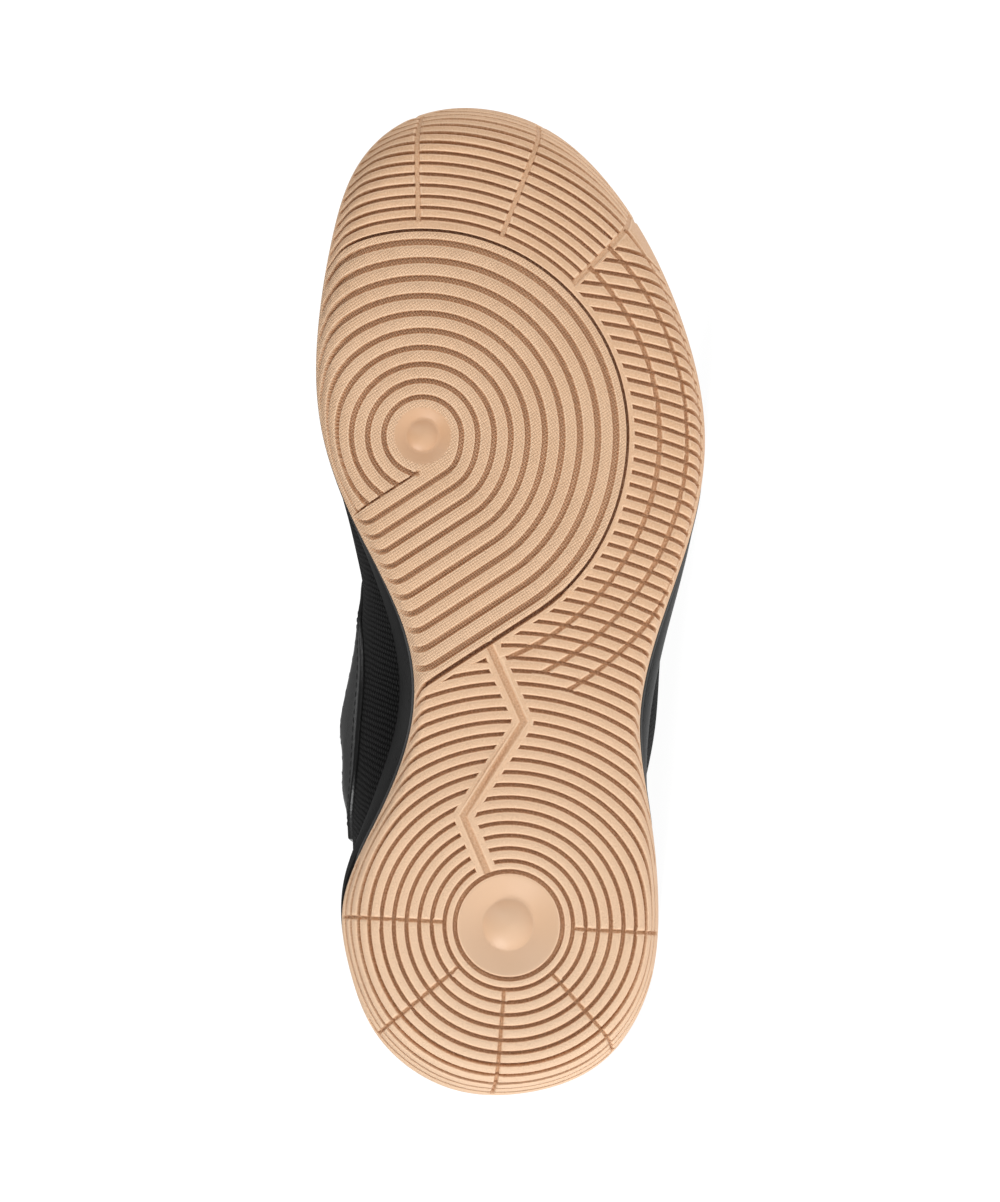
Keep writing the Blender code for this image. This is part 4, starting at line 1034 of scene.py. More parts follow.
def fade(tree, factor, ends, greys=(0.0, 1.0)):
    """A grey that goes from one to another while a factor runs between two ends."""
    return ramp(tree, factor, *[(at, grey(value)) for at, value in zip(ends, greys)])


print("material steps ready")

# %% [markdown]
# Gum rubber is the colour of raw crepe. The moulded lands have a fine sand grain, the pad a finer dotted
# one, and the pivots are polished. Light sinks in between the ribs, so floors get a painted shade, a
# warmer brown that the depth each point was sunk by drives. The same depth puts a painted highlight on
# the lips of the grooves, and the lands get a painted light that grows towards the heel.

# %% Gum rubber
# The third colour of each set is a painted light, paler towards the heel.
LANDS = linear(213, 170, 132), linear(220, 179, 143), linear(230, 195, 163)
POLISHED_LANDS = linear(204, 160, 122), linear(210, 167, 129), linear(221, 185, 152)
DOT_PITCH, DOT_HIGH, DOT_TURN = 1.15, 0.16, math.radians(-12)
Gum = namedtuple("Gum", "name lands grain_pitch grain_deep dots fleck roughness gloss")
GUMS = (
    Gum("gum_sand", LANDS, 0.6, 0.34, 0.0, 0.4, 0.55, 0.4),
    Gum("gum_dotted", LANDS, 0.5, 0.03, DOT_PITCH, 0.8, 0.5, 0.4),
    Gum("gum_polished", POLISHED_LANDS, 0.8, 0.01, 0.0, 0.0, 0.48, 0.7),
)
# The painted light for the heel fades in between these two places.
HEEL_LIGHT_FROM, HEEL_LIGHT_TO = 170.0, 15.0
# A painted highlight for the grooves' lips, whose colour also tints the pale flecks, and painted shade for
# the floors and slits.
HIGHLIGHT_AND_FLECK_COLOUR = linear(238, 203, 169)
PAINTED_FLOOR_SHADE = linear(190, 142, 103)
PAINTED_SLIT_SHADE = linear(136, 88, 54)
SHADE_FULL, HIGHLIGHT_AT, HIGHLIGHT_SHARES = 2.4, (0.0, 0.03, 0.08, 0.15), (0.0, 0.75, 0.75, 0.0)
DEEP_ENDS, SLIT_ENDS, FLECK_ENDS = (0.08, 0.45), (0.68, 0.9), (0.3, 1.0)
CLOUD_SCALE, CLOUD_DETAIL, CLOUD_ENDS = 0.05, 3.0, (0.3, 0.7)
TIP_GAIN, TIP_SHIFT = 3.0, -1.0


def gum_material(kind):
    """The lands have two tones, and a third, paler one at the heel that is painted light. The dots are the
    pitch of a fine grid of pips, or nought for none, and flecks are the pale tips of pips or grain."""
    material, tree, shader = start_material(kind.name, kind.roughness, Specular_IOR_Level=kind.gloss)
    flat = plan_millimetres(tree)
    cloud = noise(tree, flat, CLOUD_SCALE, CLOUD_DETAIL)
    land = ramp(tree, cloud, *zip(CLOUD_ENDS, kind.lands[:2]))
    along = axes_of(tree, flat)[0]
    # Painted light: the lands grow paler towards the heel.
    heel_light = maths(tree, "DIVIDE", maths(tree, "SUBTRACT", HEEL_LIGHT_FROM, along), HEEL_LIGHT_FROM - HEEL_LIGHT_TO)
    land = mixed_colour(tree, fade(tree, heel_light, (0.0, 1.0)), land, (*kind.lands[2], 1))
    # Painted highlight on the grooves' lips and painted shade in their floors and slits, driven by the sunk
    # depth.
    share = maths(tree, "DIVIDE", point_value(tree, "sunk"), SHADE_FULL)
    painted_highlight, deep = fade(tree, share, HIGHLIGHT_AT, HIGHLIGHT_SHARES), fade(tree, share, DEEP_ENDS)
    floor = ramp(tree, share, *zip(SLIT_ENDS, (PAINTED_FLOOR_SHADE, PAINTED_SLIT_SHADE)))
    colour = mixed_colour(tree, painted_highlight, mixed_colour(tree, deep, land, floor), (*HIGHLIGHT_AND_FLECK_COLOUR, 1))
    grain = noise(tree, flat, 1 / kind.grain_pitch)
    height = maths(tree, "MULTIPLY", grain, kind.grain_deep)
    tips = maths(tree, "MULTIPLY_ADD", grain, TIP_GAIN, TIP_SHIFT)
    if kind.dots:
        turned = add(tree, "ShaderNodeMapping", {"Vector": flat, "Rotation": (0, 0, DOT_TURN)}).outputs[0]
        turns = [maths(tree, "MULTIPLY", axis, FULL_TURN / kind.dots) for axis in axes_of(tree, turned)[:2]]
        waves = [maths(tree, "SINE", turn) for turn in turns]
        pips = maths(tree, "MULTIPLY", *waves)
        height = maths(tree, "ADD", height, maths(tree, "MULTIPLY", pips, DOT_HIGH))
        tips = maths(tree, "MULTIPLY_ADD", pips, 0.5, 0.5)
    pale = fade(tree, tips, FLECK_ENDS, (0.0, kind.fleck))
    colour = mixed_colour(tree, pale, colour, (*HIGHLIGHT_AND_FLECK_COLOUR, 1))
    paint(tree, shader, colour)
    bump(tree, shader, height)
    return material


gum = [gum_material(kind) for kind in GUMS]
print("gum finishes:", [material.name for material in gum])

# %% [markdown]
# The tread is wrapped round the edge, and small notches mark where the toe's rays leave it. Behind the
# tread the outsole is a plain cup that holds the midsole. Then the piece is tied to the shoe's body, and
# the imported solid that it stands for is hidden.

# %% Outsole
NOTCH_DEEP, CUP_GRID = 0.9, 9.0
SAND, DOTTED, POLISHED = range(3)


def make_outsole(edge, tread, materials):
    flat, depth, shade_depth, faces, lip = tread
    points = wrap(flat, depth)
    notch = NOTCH_DEEP * np.clip(1 - (ray_distance(edge.outline) / NOTCH_HALF) ** 2, 0, 1)
    points[lip] = edge.ring(edge.full_out - notch, edge.lip)
    middle = np.array([flat[list(t)].mean(axis=0) for t in faces])
    on_disc = length(middle - HEEL_PIVOT) < HEEL_DISC
    on_dish = length(middle - PIVOT) < PIVOT_DISH
    on_pad = pad_room(middle) < -PAD_SLIT
    finish = np.where(on_disc | on_dish, POLISHED, np.where(on_pad, DOTTED, SAND))
    first = len(points)
    corner_out = out_at_height(edge.radius, SOLE_THICK) - CORNER_WALL
    lip_in, corner = first + np.arange(len(lip)), first + len(lip) + np.arange(len(lip))
    inner = [edge.ring(edge.full_out - LIP_WALL, edge.lip), edge.floor(corner_out, SOLE_THICK)]
    points = np.concatenate([points, *inner])
    faces = list(faces) + bridge(lip, lip_in) + bridge(lip_in, corner)
    points, more = fill_loop(points, corner, lambda plan: ground(plan) + SOLE_THICK, CUP_GRID)
    faces += more
    finish = np.concatenate([finish, np.zeros(len(faces) - len(finish), int)])
    uv = np.concatenate([flat, points[len(flat):, :2]])
    # The sunk depth drives the painted shade and the painted highlight of the gum.
    sunk = np.concatenate([shade_depth, np.zeros(len(points) - len(shade_depth))])
    return make_piece("gum_outsole", points, faces, materials, finish, uv, {"sunk": sunk})


def dress(piece, node):
    """Ties a piece to the shoe's body, hides the solid that it stands for and prints its number of faces."""
    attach(piece, "root")
    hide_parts(node)
    print(piece.name + ":", len(piece.data.polygons), "faces")


outsole = make_outsole(cup_edge, tread, gum)
dress(outsole, "outsole")

# %% [markdown]
# The midsole is one block of black foam. It fills the rubber cup, shows a narrow bevel above the cup's
# lip and then rises to the rim that the upper stands in. Its wall is a curve at every station round the
# shoe, with a moulded line above the bevel, so rows of points round the shoe, bridged in turn, describe
# it exactly.

# %% Midsole wall
RIM_WALL, RIM_ROUND, STEP_INSET = 3.2, 1.0, 0.4
BEVEL_HIGH, BEVEL_STAND, BEVEL_TUCK = 2.4, 0.45, 1.3
BEVEL_EASE, BEVEL_FOOT, BAND_EASE = (-0.2, 0.5), 0.6, 0.3
LINE_DEEP, LINE_HALF, LINE_UP = 0.5, 0.4, 0.4
FLARE, FLARE_AT, FLARE_LONG = 2.0, 76.0, 15.0
TUCK_ENDS, SWELL_ENDS = (-3.0, -0.5), (-4, 5)
SWELL_LEAST, SWELL_MORE, SWELL_OUT, SWELL_UP = 0.25, 0.5, 0.6, 0.38
WALL_STEPS, WALL_ROWS = (0.0, 0.3, 0.7, 1.4, 2.1, 2.5, 2.8, 3.1, 3.5), 12
ROUND_TURNS = (0, 22, 45, 68, 90)


def hump(at, middle, half):
    """A rise that is one at its middle and fades out smoothly on both sides."""
    return np.exp(-(((at - middle) / half) ** 2))


def rounded_rim(plan, normal, height, radius):
    """Rows over a rounded top edge, from its outer side to its top."""
    rows = []
    for turn in np.radians(ROUND_TURNS):
        inset, drop = radius * (1 - math.cos(turn)), radius * (1 - math.sin(turn))
        rows.append(np.column_stack([plan - normal * inset, height - drop]))
    return rows


def midsole_rows():
    """Rows of the wall from the cup's floor up to the bed, and how much each point is on the bevel."""
    corner_out = out_at_height(RIM.radius, SOLE_THICK) - CORNER_WALL - GAP
    rows, bands = [RIM.floor(corner_out, SOLE_THICK + GAP)], [np.zeros(AROUND)] * 2
    rows.append(RIM.ring(RIM.full_out - LIP_WALL - GAP, RIM.lip + GAP))
    step = RIM.ring(RIM.full_out - STEP_INSET, RIM.lip + GAP)
    plan = outline("rim", RIM.angle)
    normal = outward(plan)
    height = level("rim", plan[:, 0])
    flare = ((plan - RIM.outline) * RIM.normal).sum(axis=1)
    tucked = 1 - smooth_step(flare, *TUCK_ENDS)
    share = (SWELL_LEAST + SWELL_MORE * smooth_step(flare, *SWELL_ENDS))[:, None]
    bulge = SWELL_OUT + FLARE * hump(plan[:, :1], FLARE_AT, FLARE_LONG) * (plan[:, 1:] < 0)
    crease = np.column_stack([
        step[:, :2] * (1 - share) + plan * share + normal * bulge,
        step[:, 2] + SWELL_UP * (height - step[:, 2]),
    ])
    top = np.column_stack([plan, height - RIM_ROUND])
    pull = 2 * crease - 0.5 * (step + top)
    tall = length(top - step)
    shares = [at / tall for at in WALL_STEPS]
    shares += [shares[-1] + (1 - shares[-1]) * k / WALL_ROWS for k in range(1, WALL_ROWS)]
    for t in shares:
        t = t[:, None]
        wall = (1 - t) ** 2 * step + 2 * t * (1 - t) * pull + t**2 * top
        way = unit(2 * (1 - t) * (pull - step) + 2 * t * (top - pull))
        lean = (way[:, :2] * RIM.normal).sum(axis=1)
        out = np.column_stack([RIM.normal * way[:, 2:], -lean])
        run = t[:, 0] * tall
        over = run - BEVEL_HIGH
        stand = (BEVEL_STAND - BEVEL_TUCK * tucked) * (1 - smooth_step(over, *BEVEL_EASE))
        stand -= LINE_DEEP * hump(over, LINE_UP, LINE_HALF)
        stand -= (BEVEL_STAND + BEVEL_FOOT) * (1 - smooth_step(run, 0.0, BEVEL_FOOT))
        rows.append(wall + out * stand[:, None])
        bands.append(1 - smooth_step(over, -BAND_EASE, BAND_EASE))
    rows += rounded_rim(plan, normal, height, RIM_ROUND)
    inner = plan - normal * RIM_WALL
    rows.append(np.column_stack([inner, height]))
    rows.append(np.column_stack([inner, level("bed", inner[:, 0])]))
    return rows, np.concatenate(bands)


midsole_wall, bevel_band = midsole_rows()
print(len(midsole_wall), "rows round the midsole")

# %% [markdown]
# Moulded foam is almost black, with fine grain and small pits. The bevel above the rubber is a lighter
# grey, which the share of each point on the bevel drives.

# %% Foam midsole
BED_GRID = 8.0
# The second pair of greys is the lighter grey of the bevel above the rubber.
FOAM_BLACK, FOAM_BEVEL_GREYS, FOAM_CLOUD = (0.004, 0.007), (0.044, 0.062), 0.06
PIT_SCALE, PIT_ENDS, PIT_DEEP = 0.55, (0.12, 0.3), 0.12
FOAM_GRAIN, FOAM_GRAIN_DEEP = 2.4, 0.06


def make_midsole(rows, band, material):
    loops, faces = row_loops(rows)
    points = np.concatenate(rows)
    points, floor = fill_loop(points, loops[0], lambda p: ground(p) + SOLE_THICK + GAP, BED_GRID)
    points, bed = fill_loop(points, loops[-1], lambda p: level("bed", p[:, 0]), BED_GRID)
    band = np.concatenate([band, np.zeros(len(points) - len(band))])
    return make_piece("foam_midsole", points, faces + floor + bed, [material], values={"band": band})


def object_millimetres(tree):
    """The piece's own coordinates, in millimetres."""
    own = add(tree, "ShaderNodeTexCoord").outputs["Object"]
    return add(tree, "ShaderNodeMapping", {"Vector": own, "Scale": [1 / MM] * 3}).outputs[0]


def foam_material():
    """Black foam; the bevel above the rubber is a lighter grey."""
    material, tree, shader = start_material("moulded_foam", 0.5, Specular_IOR_Level=0.16)
    where = object_millimetres(tree)
    cloud = noise(tree, where, FOAM_CLOUD, CLOUD_DETAIL)
    wall, bevel = (fade(tree, cloud, CLOUD_ENDS, greys) for greys in (FOAM_BLACK, FOAM_BEVEL_GREYS))
    paint(tree, shader, mixed_colour(tree, point_value(tree, "band"), wall, bevel))
    pits = add(tree, "ShaderNodeTexVoronoi", {"Vector": where, "Scale": PIT_SCALE}).outputs["Distance"]
    pit = maths(tree, "MULTIPLY", fade(tree, pits, PIT_ENDS), PIT_DEEP)
    grain = maths(tree, "MULTIPLY", noise(tree, where, FOAM_GRAIN), FOAM_GRAIN_DEEP)
    bump(tree, shader, maths(tree, "ADD", pit, grain))
    return material


midsole = make_midsole(midsole_wall, bevel_band, foam_material())
dress(midsole, "midsole")

# %% [markdown]
# The upper is a single knitted sock, lasted into the midsole's rim. At every angle round the shoe its
# section is one cubic curve: it leaves the rim towards the belly, turns in past the shoulder and ends at
# the topline. Everything that lies on the upper uses the same function, so panels and stitches follow its
# creases.

# %% Upper tables
Wall = namedtuple(
    "Wall",
    "along belly_x belly_in belly_out belly_z shoulder_x shoulder_in shoulder_out shoulder_z "
    "top_x top_in top_out top_z eyestay_in eyestay_out",
)
WALLS = (
    Wall(0.066, 16.0, 37.5, 33.0, 60.0, 21.0, 25.0, 23.5, 92.0, 20.5, 20.0, 18.0, 119.0, 0.80, 0.80),
    Wall(0.132, 38.0, 46.5, 40.5, 57.0, 40.0, 34.0, 32.0, 90.0, 34.0, 28.5, 26.5, 114.5, 0.80, 0.80),
    Wall(0.200, 60.0, 50.0, 42.5, 54.0, 60.0, 39.0, 36.0, 88.0, 51.0, 32.5, 30.5, 111.0, 0.70, 0.80),
    Wall(0.288, 87.0, 51.5, 48.0, 50.0, 85.0, 44.0, 41.5, 89.0, 76.0, 33.5, 32.0, 113.0, 0.32, 0.74),
    Wall(0.377, 114.0, 55.2, 55.0, 46.0, 110.0, 50.0, 49.5, 92.0, 101.0, 28.0, 26.5, 120.5, 0.24, 0.70),
    Wall(0.464, 141.0, 50.4, 56.0, 42.0, 137.0, 44.5, 46.0, 84.0, 129.0, 20.5, 19.5, 103.0, 0.32, 0.68),
    Wall(0.576, 175.0, 52.8, 60.0, 40.0, 169.0, 42.0, 43.0, 76.5, 161.0, 16.0, 15.0, 85.5, 0.66, 0.68),
    Wall(0.666, 203.0, 63.0, 63.5, 41.5, 196.0, 41.0, 43.0, 71.5, 186.0, 13.5, 11.5, 75.0, 0.68, 0.68),
    Wall(0.775, 237.0, 63.0, 57.5, 45.0, 221.0, 37.0, 36.0, 69.0, 202.0, 10.0, 6.5, 70.5, 0.70, 0.70),
    Wall(0.864, 267.0, 57.5, 45.0, 48.5, 240.0, 28.5, 23.0, 68.0, 207.5, 7.0, 2.5, 69.0, 0.72, 0.72),
    Wall(0.930, 288.0, 48.5, 28.5, 51.0, 252.0, 20.5, 10.5, 67.5, 209.5, 4.5, -0.5, 68.4, 0.74, 0.74),
)
WallEnd = namedtuple("WallEnd", "belly shoulder top eyestay")
WALL_HEEL = WallEnd((-1.0, -4.0, 62.0), (14.0, -2.5, 94.0), (13.0, -1.5, COLLAR_HEIGHT), 0.80)
WALL_TOE = WallEnd((305.0, -13.5, 52.5), (259.0, -8.5, 67.5), (210.5, -2.2, 68.2), 0.76)
print(len(WALLS), "stations of the upper")

# %% [markdown]
# The same closed splines run through these columns. The wall is thin knit, padded round the ankle and
# rolled in at the topline.

# %% The upper's form
UPPER_WALL, COLLAR_PAD, RIM_CLEAR = 2.4, 4.2, 0.5
PAD_ENDS, PAD_SWELL, PAD_ROLL, PAD_ROLLED = (0.30, 0.42), (0.45, 0.82), (0.88, 1.0), 0.75
ANGLE_STEP, SLOPE_STEP = 0.002, 1e-3


def rim_inset(distance, angle):
    """The midsole rim's outline moved inwards."""
    along = outline("rim", angle + ANGLE_STEP) - outline("rim", angle - ANGLE_STEP)
    return outline("rim", angle) + unit(np.stack([-along[..., 1], along[..., 0]], axis=-1)) * distance


def wall_column(name, axis):
    """One coordinate of the upper's belly, shoulder or top, round the shoe."""
    toe, heel = getattr(WALL_TOE, name)[axis], getattr(WALL_HEEL, name)[axis]
    if axis == 1:
        inner, outer = name + "_in", name + "_out"
        return round_column(WALLS, lambda r: -getattr(r, inner), lambda r: getattr(r, outer), toe, heel)
    column = name + "_" + "x z"[axis]
    return round_column(WALLS, lambda r: getattr(r, column), lambda r: getattr(r, column), toe, heel)


CONTROLS = {name: [wall_column(name, axis) for axis in range(3)] for name in ("belly", "shoulder", "top")}
EYESTAY_LOW = round_column(
    WALLS, lambda r: r.eyestay_in, lambda r: r.eyestay_out, WALL_TOE.eyestay, WALL_HEEL.eyestay
)


def upper_point(angle, row):
    """Outer face of the upper: row -1 is its foot, 0 the rim's top and 1 the topline."""
    angle, row = np.broadcast_arrays(angle, row)
    foot = rim_inset(RIM_WALL + GAP, angle)
    rim = level("rim", foot[..., 0]) + RIM_CLEAR
    share = np.clip(row, 0, 1)[..., None]
    rest = 1 - share
    belly, shoulder, top = (
        np.stack([curve(angle) for curve in CONTROLS[name]], axis=-1) for name in ("belly", "shoulder", "top")
    )
    start = np.concatenate([foot, rim[..., None]], axis=-1)
    curve = rest**3 * start + 3 * rest**2 * share * belly + 3 * rest * share**2 * shoulder + share**3 * top
    curve[..., 2] += np.clip(-row, 0, 1) * (level("bed", foot[..., 0]) + GAP - rim)
    return curve


def upper_normal(angle, row):
    """The way out of the upper's plain form."""
    angle, row = np.broadcast_arrays(angle, row)
    low = np.where(row > 0, np.maximum(row - SLOPE_STEP, 0), -1.0)
    high = np.where(row > 0, np.minimum(row + SLOPE_STEP, 1), 0.0)
    up = upper_point(angle, high) - upper_point(angle, low)
    across = upper_point(angle + SLOPE_STEP, row) - upper_point(angle - SLOPE_STEP, row)
    return unit(np.cross(across, up))


def along_share(angle):
    """The station along the shoe at an angle: 0 is the heel and 1 the toe."""
    return (1 + np.cos(angle)) / 2


def wall_thickness(angle, row):
    """The upper's wall, padded round the ankle and rolled in at the topline."""
    padded = 1 - smooth_step(along_share(angle), *PAD_ENDS)
    roll = smooth_step(row, *PAD_SWELL) * (1 - PAD_ROLLED * smooth_step(row, *PAD_ROLL))
    return UPPER_WALL + COLLAR_PAD * padded * roll


print("topline at the heel:", np.round(upper_point(math.pi, 1.0), 1).tolist())

# %% [markdown]
# A worn-in look starts with where the shoe bends: across the ball, at the instep and round the ankle.
# Each crease is given as a line on the upper with a width and a depth. Its profile sinks in the
# middle and swells a little on both sides, as soft cloth does.

# %% Creases
Crease = namedtuple("Crease", "x slant low high width depth")
CREASES = (
    Crease(206.0, -10.0, 0.10, 0.62, 5.0, 0.7),
    Crease(221.0, -22.0, 0.12, 0.74, 6.0, 0.9),
    Crease(239.0, -34.0, 0.20, 0.90, 7.0, 0.7),
    Crease(163.0, -16.0, 0.16, 0.60, 9.0, 0.6),
    Crease(104.0, -6.0, 0.40, 0.86, 9.0, 1.1),
    Crease(84.0, -14.0, 0.44, 0.84, 9.0, 0.9),
    Crease(30.0, 4.0, 0.48, 0.80, 10.0, 0.7),
)
CREASE_START, CREASE_STOP, CREASE_SWELL = (-0.08, 0.14), (-0.14, 0.06), 0.9
COLLAR_CHANNELS, CHANNEL_ENDS = ((0.79, 0.016, 1.3), (0.885, 0.013, 1.1)), (0.18, 0.25)


def relief(angle, row, points):
    """How far the knit stands out of or sinks into the upper's plain form."""
    height = np.zeros(points.shape[:-1])
    for crease in CREASES:
        middle = crease.x + crease.slant * (row - crease.low) / (crease.high - crease.low)
        side = (points[..., 0] - middle) / crease.width
        reach = smooth_step(row - crease.low, *CREASE_START)
        reach = reach * (1 - smooth_step(row - crease.high, *CREASE_STOP))
        height -= crease.depth * reach * (1 - CREASE_SWELL * side**2) * np.exp(-side**2)
    ankle = 1 - smooth_step(along_share(angle), *CHANNEL_ENDS)
    for at, half, depth in COLLAR_CHANNELS:
        height -= ankle * depth * hump(row, at, half)
    return height


def skin(angle, row, offset):
    """Points at an offset over the creased upper."""
    angle, row = np.broadcast_arrays(angle, row)
    points = upper_point(angle, row)
    stand = relief(angle, row, points) + offset
    return points + upper_normal(angle, row) * stand[..., None]


print(len(CREASES), "creases and", len(COLLAR_CHANNELS), "collar channels")

# %% [markdown]
# Cloth is dark holes between raised yarns. The lining is an even weave in the piece's own coordinates.
# The knit follows the upper's own map instead, in slanted courses of loops.

# %% Knit and lining
KNIT_COURSE, KNIT_WALE, KNIT_SLANT, KNIT_HIGH = 1.7, 0.95, 0.35, 0.45
KNIT_WAVER, KNIT_SWAY, KNIT_GREYS = 0.08, 2.0, (0.0008, 0.012)
LOOP_ENDS, KNIT_ENDS = (0.2, 0.75), (0.1, 0.9)
WEAVE_GAIN, YARN_ENDS, YARN_SHARE = 0.35, (0.25, 0.7), 0.8
FUZZ_SCALE, FUZZ_SHARE, CLOTH_ENDS = 3.0, 0.3, (0.1, 0.95)
CLOTH_GLOSS, CLOTH_SHEEN = 0.08, 0.04


def lattice(tree, where, pitch):
    """A woven lattice that looks even on any side: sums of crossed waves along the three axes."""
    turns = [maths(tree, "MULTIPLY", axis, FULL_TURN / pitch) for axis in axes_of(tree, where)]
    total = None
    for i in range(3):
        crossed = maths(tree, "SINE", turns[i])
        crossed = maths(tree, "MULTIPLY", crossed, maths(tree, "COSINE", turns[(i + 1) % 3]))
        total = crossed if total is None else maths(tree, "ADD", total, crossed)
    return total


def cloth_material(name, pitch, greys, depth, roughness):
    """A knit or woven cloth: dark holes between raised yarns, with some fuzz."""
    fixed = {"Specular_IOR_Level": CLOTH_GLOSS, "Sheen_Weight": CLOTH_SHEEN}
    material, tree, shader = start_material(name, roughness, **fixed)
    where = object_millimetres(tree)
    weave = lattice(tree, where, pitch)
    yarn = fade(tree, maths(tree, "MULTIPLY_ADD", weave, WEAVE_GAIN, 0.5), YARN_ENDS)
    fuzz = noise(tree, where, FUZZ_SCALE)
    mixed_yarn = maths(tree, "MULTIPLY_ADD", fuzz, FUZZ_SHARE, maths(tree, "MULTIPLY", yarn, YARN_SHARE))
    paint(tree, shader, fade(tree, mixed_yarn, CLOTH_ENDS, greys))
    bump(tree, shader, maths(tree, "MULTIPLY", mixed_yarn, depth))
    return material


def knit_material():
    """Slanted courses of stitches with a row of small holes between them."""
    material, tree, shader = start_material("black_knit", 0.8, Specular_IOR_Level=0.12, Sheen_Weight=0.03)
    flat = plan_millimetres(tree)
    waver = noise(tree, flat, KNIT_WAVER, 1.0)
    axes = axes_of(tree, flat)
    course = maths(tree, "MULTIPLY_ADD", axes[1], KNIT_SLANT, axes[0])
    course = maths(tree, "MULTIPLY_ADD", waver, KNIT_SWAY, course)
    across = maths(tree, "COSINE", maths(tree, "MULTIPLY", course, FULL_TURN / KNIT_COURSE))
    parity = maths(tree, "COSINE", maths(tree, "MULTIPLY", course, math.pi / KNIT_COURSE))
    wale = maths(tree, "COSINE", maths(tree, "MULTIPLY", axes[1], FULL_TURN / KNIT_WALE))
    loops = maths(tree, "MULTIPLY", wale, parity)
    height = maths(tree, "MULTIPLY_ADD", across, 0.5, maths(tree, "MULTIPLY", loops, 0.5))
    yarn = fade(tree, maths(tree, "MULTIPLY_ADD", height, 0.5, 0.5), LOOP_ENDS)
    paint(tree, shader, fade(tree, yarn, KNIT_ENDS, KNIT_GREYS))
    bump(tree, shader, maths(tree, "MULTIPLY", yarn, KNIT_HIGH))
    return material


knit = knit_material()
lining = cloth_material("lining_cloth", pitch=1.1, greys=(0.004, 0.014), depth=0.15, roughness=0.9)
print("cloths:", knit.name, "and", lining.name)

# %% [markdown]
# The knit wall has two faces and a rolled topline between them, and a skirt below that hides in the
# midsole's rim. Rows close together keep the creases smooth, and the weave itself is left to the
# material.

# %% Knitted upper
OUTER_ROWS, INNER_ROWS, UPPER_AROUND = 64, 26, 400
ROLL_FROM, ROLL_HIGH, ROLL_TURNS = 0.98, 0.8, (30, 60, 90, 120, 150)
CLOTH_SHARP = 60.0


def cloth_map(rows):
    """Places of the knit: how far from the toe, the same on both sides, and how far up the wall."""
    grid = np.array(rows)
    up = run_along(grid)
    belt = grid[OUTER_ROWS // 3]
    steps = length(belt - np.roll(belt, 1, axis=0))
    steps[0] = 0
    half = UPPER_AROUND // 2
    away = np.cumsum(steps)
    away[half + 1:] = away[1:half][::-1]
    return np.column_stack([np.broadcast_to(away, up.shape).ravel(), up.ravel()])


def make_upper(materials):
    angle = np.arange(UPPER_AROUND) * FULL_TURN / UPPER_AROUND
    rows = [upper_point(angle, -1.0), upper_point(angle, -0.5)]
    rows += [skin(angle, row, 0.0) for row in np.linspace(0, 1, OUTER_ROWS)]
    inner = []
    for row in np.linspace(1, 0, INNER_ROWS):
        back = upper_point(angle, row) - upper_normal(angle, row) * wall_thickness(angle, row)[:, None]
        if row == 0:
            back[:, 2] = upper_point(angle, row)[:, 2]
        inner.append(back)
    middle, half = (rows[-1] + inner[0]) / 2, (rows[-1] - inner[0]) / 2
    rise = unit(upper_point(angle, 1.0) - upper_point(angle, ROLL_FROM))
    rise = rise * length(half)[:, None] * ROLL_HIGH
    rolled = [middle + half * math.cos(t) + rise * math.sin(t) for t in np.radians(ROLL_TURNS)]
    foot = upper_point(angle, -1.0) - upper_normal(angle, -1.0) * UPPER_WALL
    foot[:, 2] = rows[0][:, 2]
    rows = rows + rolled + inner + [foot]
    loops, faces = row_loops(rows)
    faces += bridge(loops[-1], loops[0])
    lining = len(loops) - INNER_ROWS - 2
    finish = [1 if number // UPPER_AROUND >= lining else 0 for number in range(len(faces))]
    points, uv = np.concatenate(rows), cloth_map(rows)
    return make_piece("knit_upper", points, faces, materials, finish, uv, sharp=CLOTH_SHARP)


upper = make_upper([knit, lining])
dress(upper, "upper")

# %% [markdown]
# A die-cut insole lies in the bottom of the shoe: a thin foam sheet under cloth, with a softened edge.

# %% Insole
INSOLE_THICK, INSOLE_CLEAR, INSOLE_ROUND = 4.0, 0.5, 1.2


def make_insole(material):
    plan = rim_inset(RIM_WALL + GAP + UPPER_WALL + INSOLE_CLEAR, RIM.angle)
    normal = outward(plan)
    bed = level("bed", plan[:, 0]) + GAP
    rows = [np.column_stack([plan, bed])] + rounded_rim(plan, normal, bed + INSOLE_THICK, INSOLE_ROUND)
    loops, faces = row_loops(rows)
    points = np.concatenate(rows)
    points, low = fill_loop(points, loops[0], lambda p: level("bed", p[:, 0]) + GAP, BED_GRID)
    top = GAP + INSOLE_THICK
    points, high = fill_loop(points, loops[-1], lambda p: level("bed", p[:, 0]) + top, BED_GRID)
    return make_piece("cloth_insole", points, faces + low + high, [material])


insole_cloth = cloth_material("insole_cloth", pitch=0.9, greys=(0.008, 0.022), depth=0.1, roughness=0.9)
insole = make_insole(insole_cloth)
dress(insole, "insole")

# %% [markdown]
# Fused film is a thin synthetic skin, pressed onto the knit by heat. It has a fine leather grain, and
# low, wide folds from the cloth under it.

# %% Fused film
FOLD_SCALE, FOLD_HIGH, FILM_CLOUD = 0.06, 1.7, 0.04
CELL_SCALE, CELL_DEEP = 1.1, 0.05
FILM_GRAIN, FILM_GRAIN_DEEP, FILM_DULLING = 1.6, 0.06, 0.2


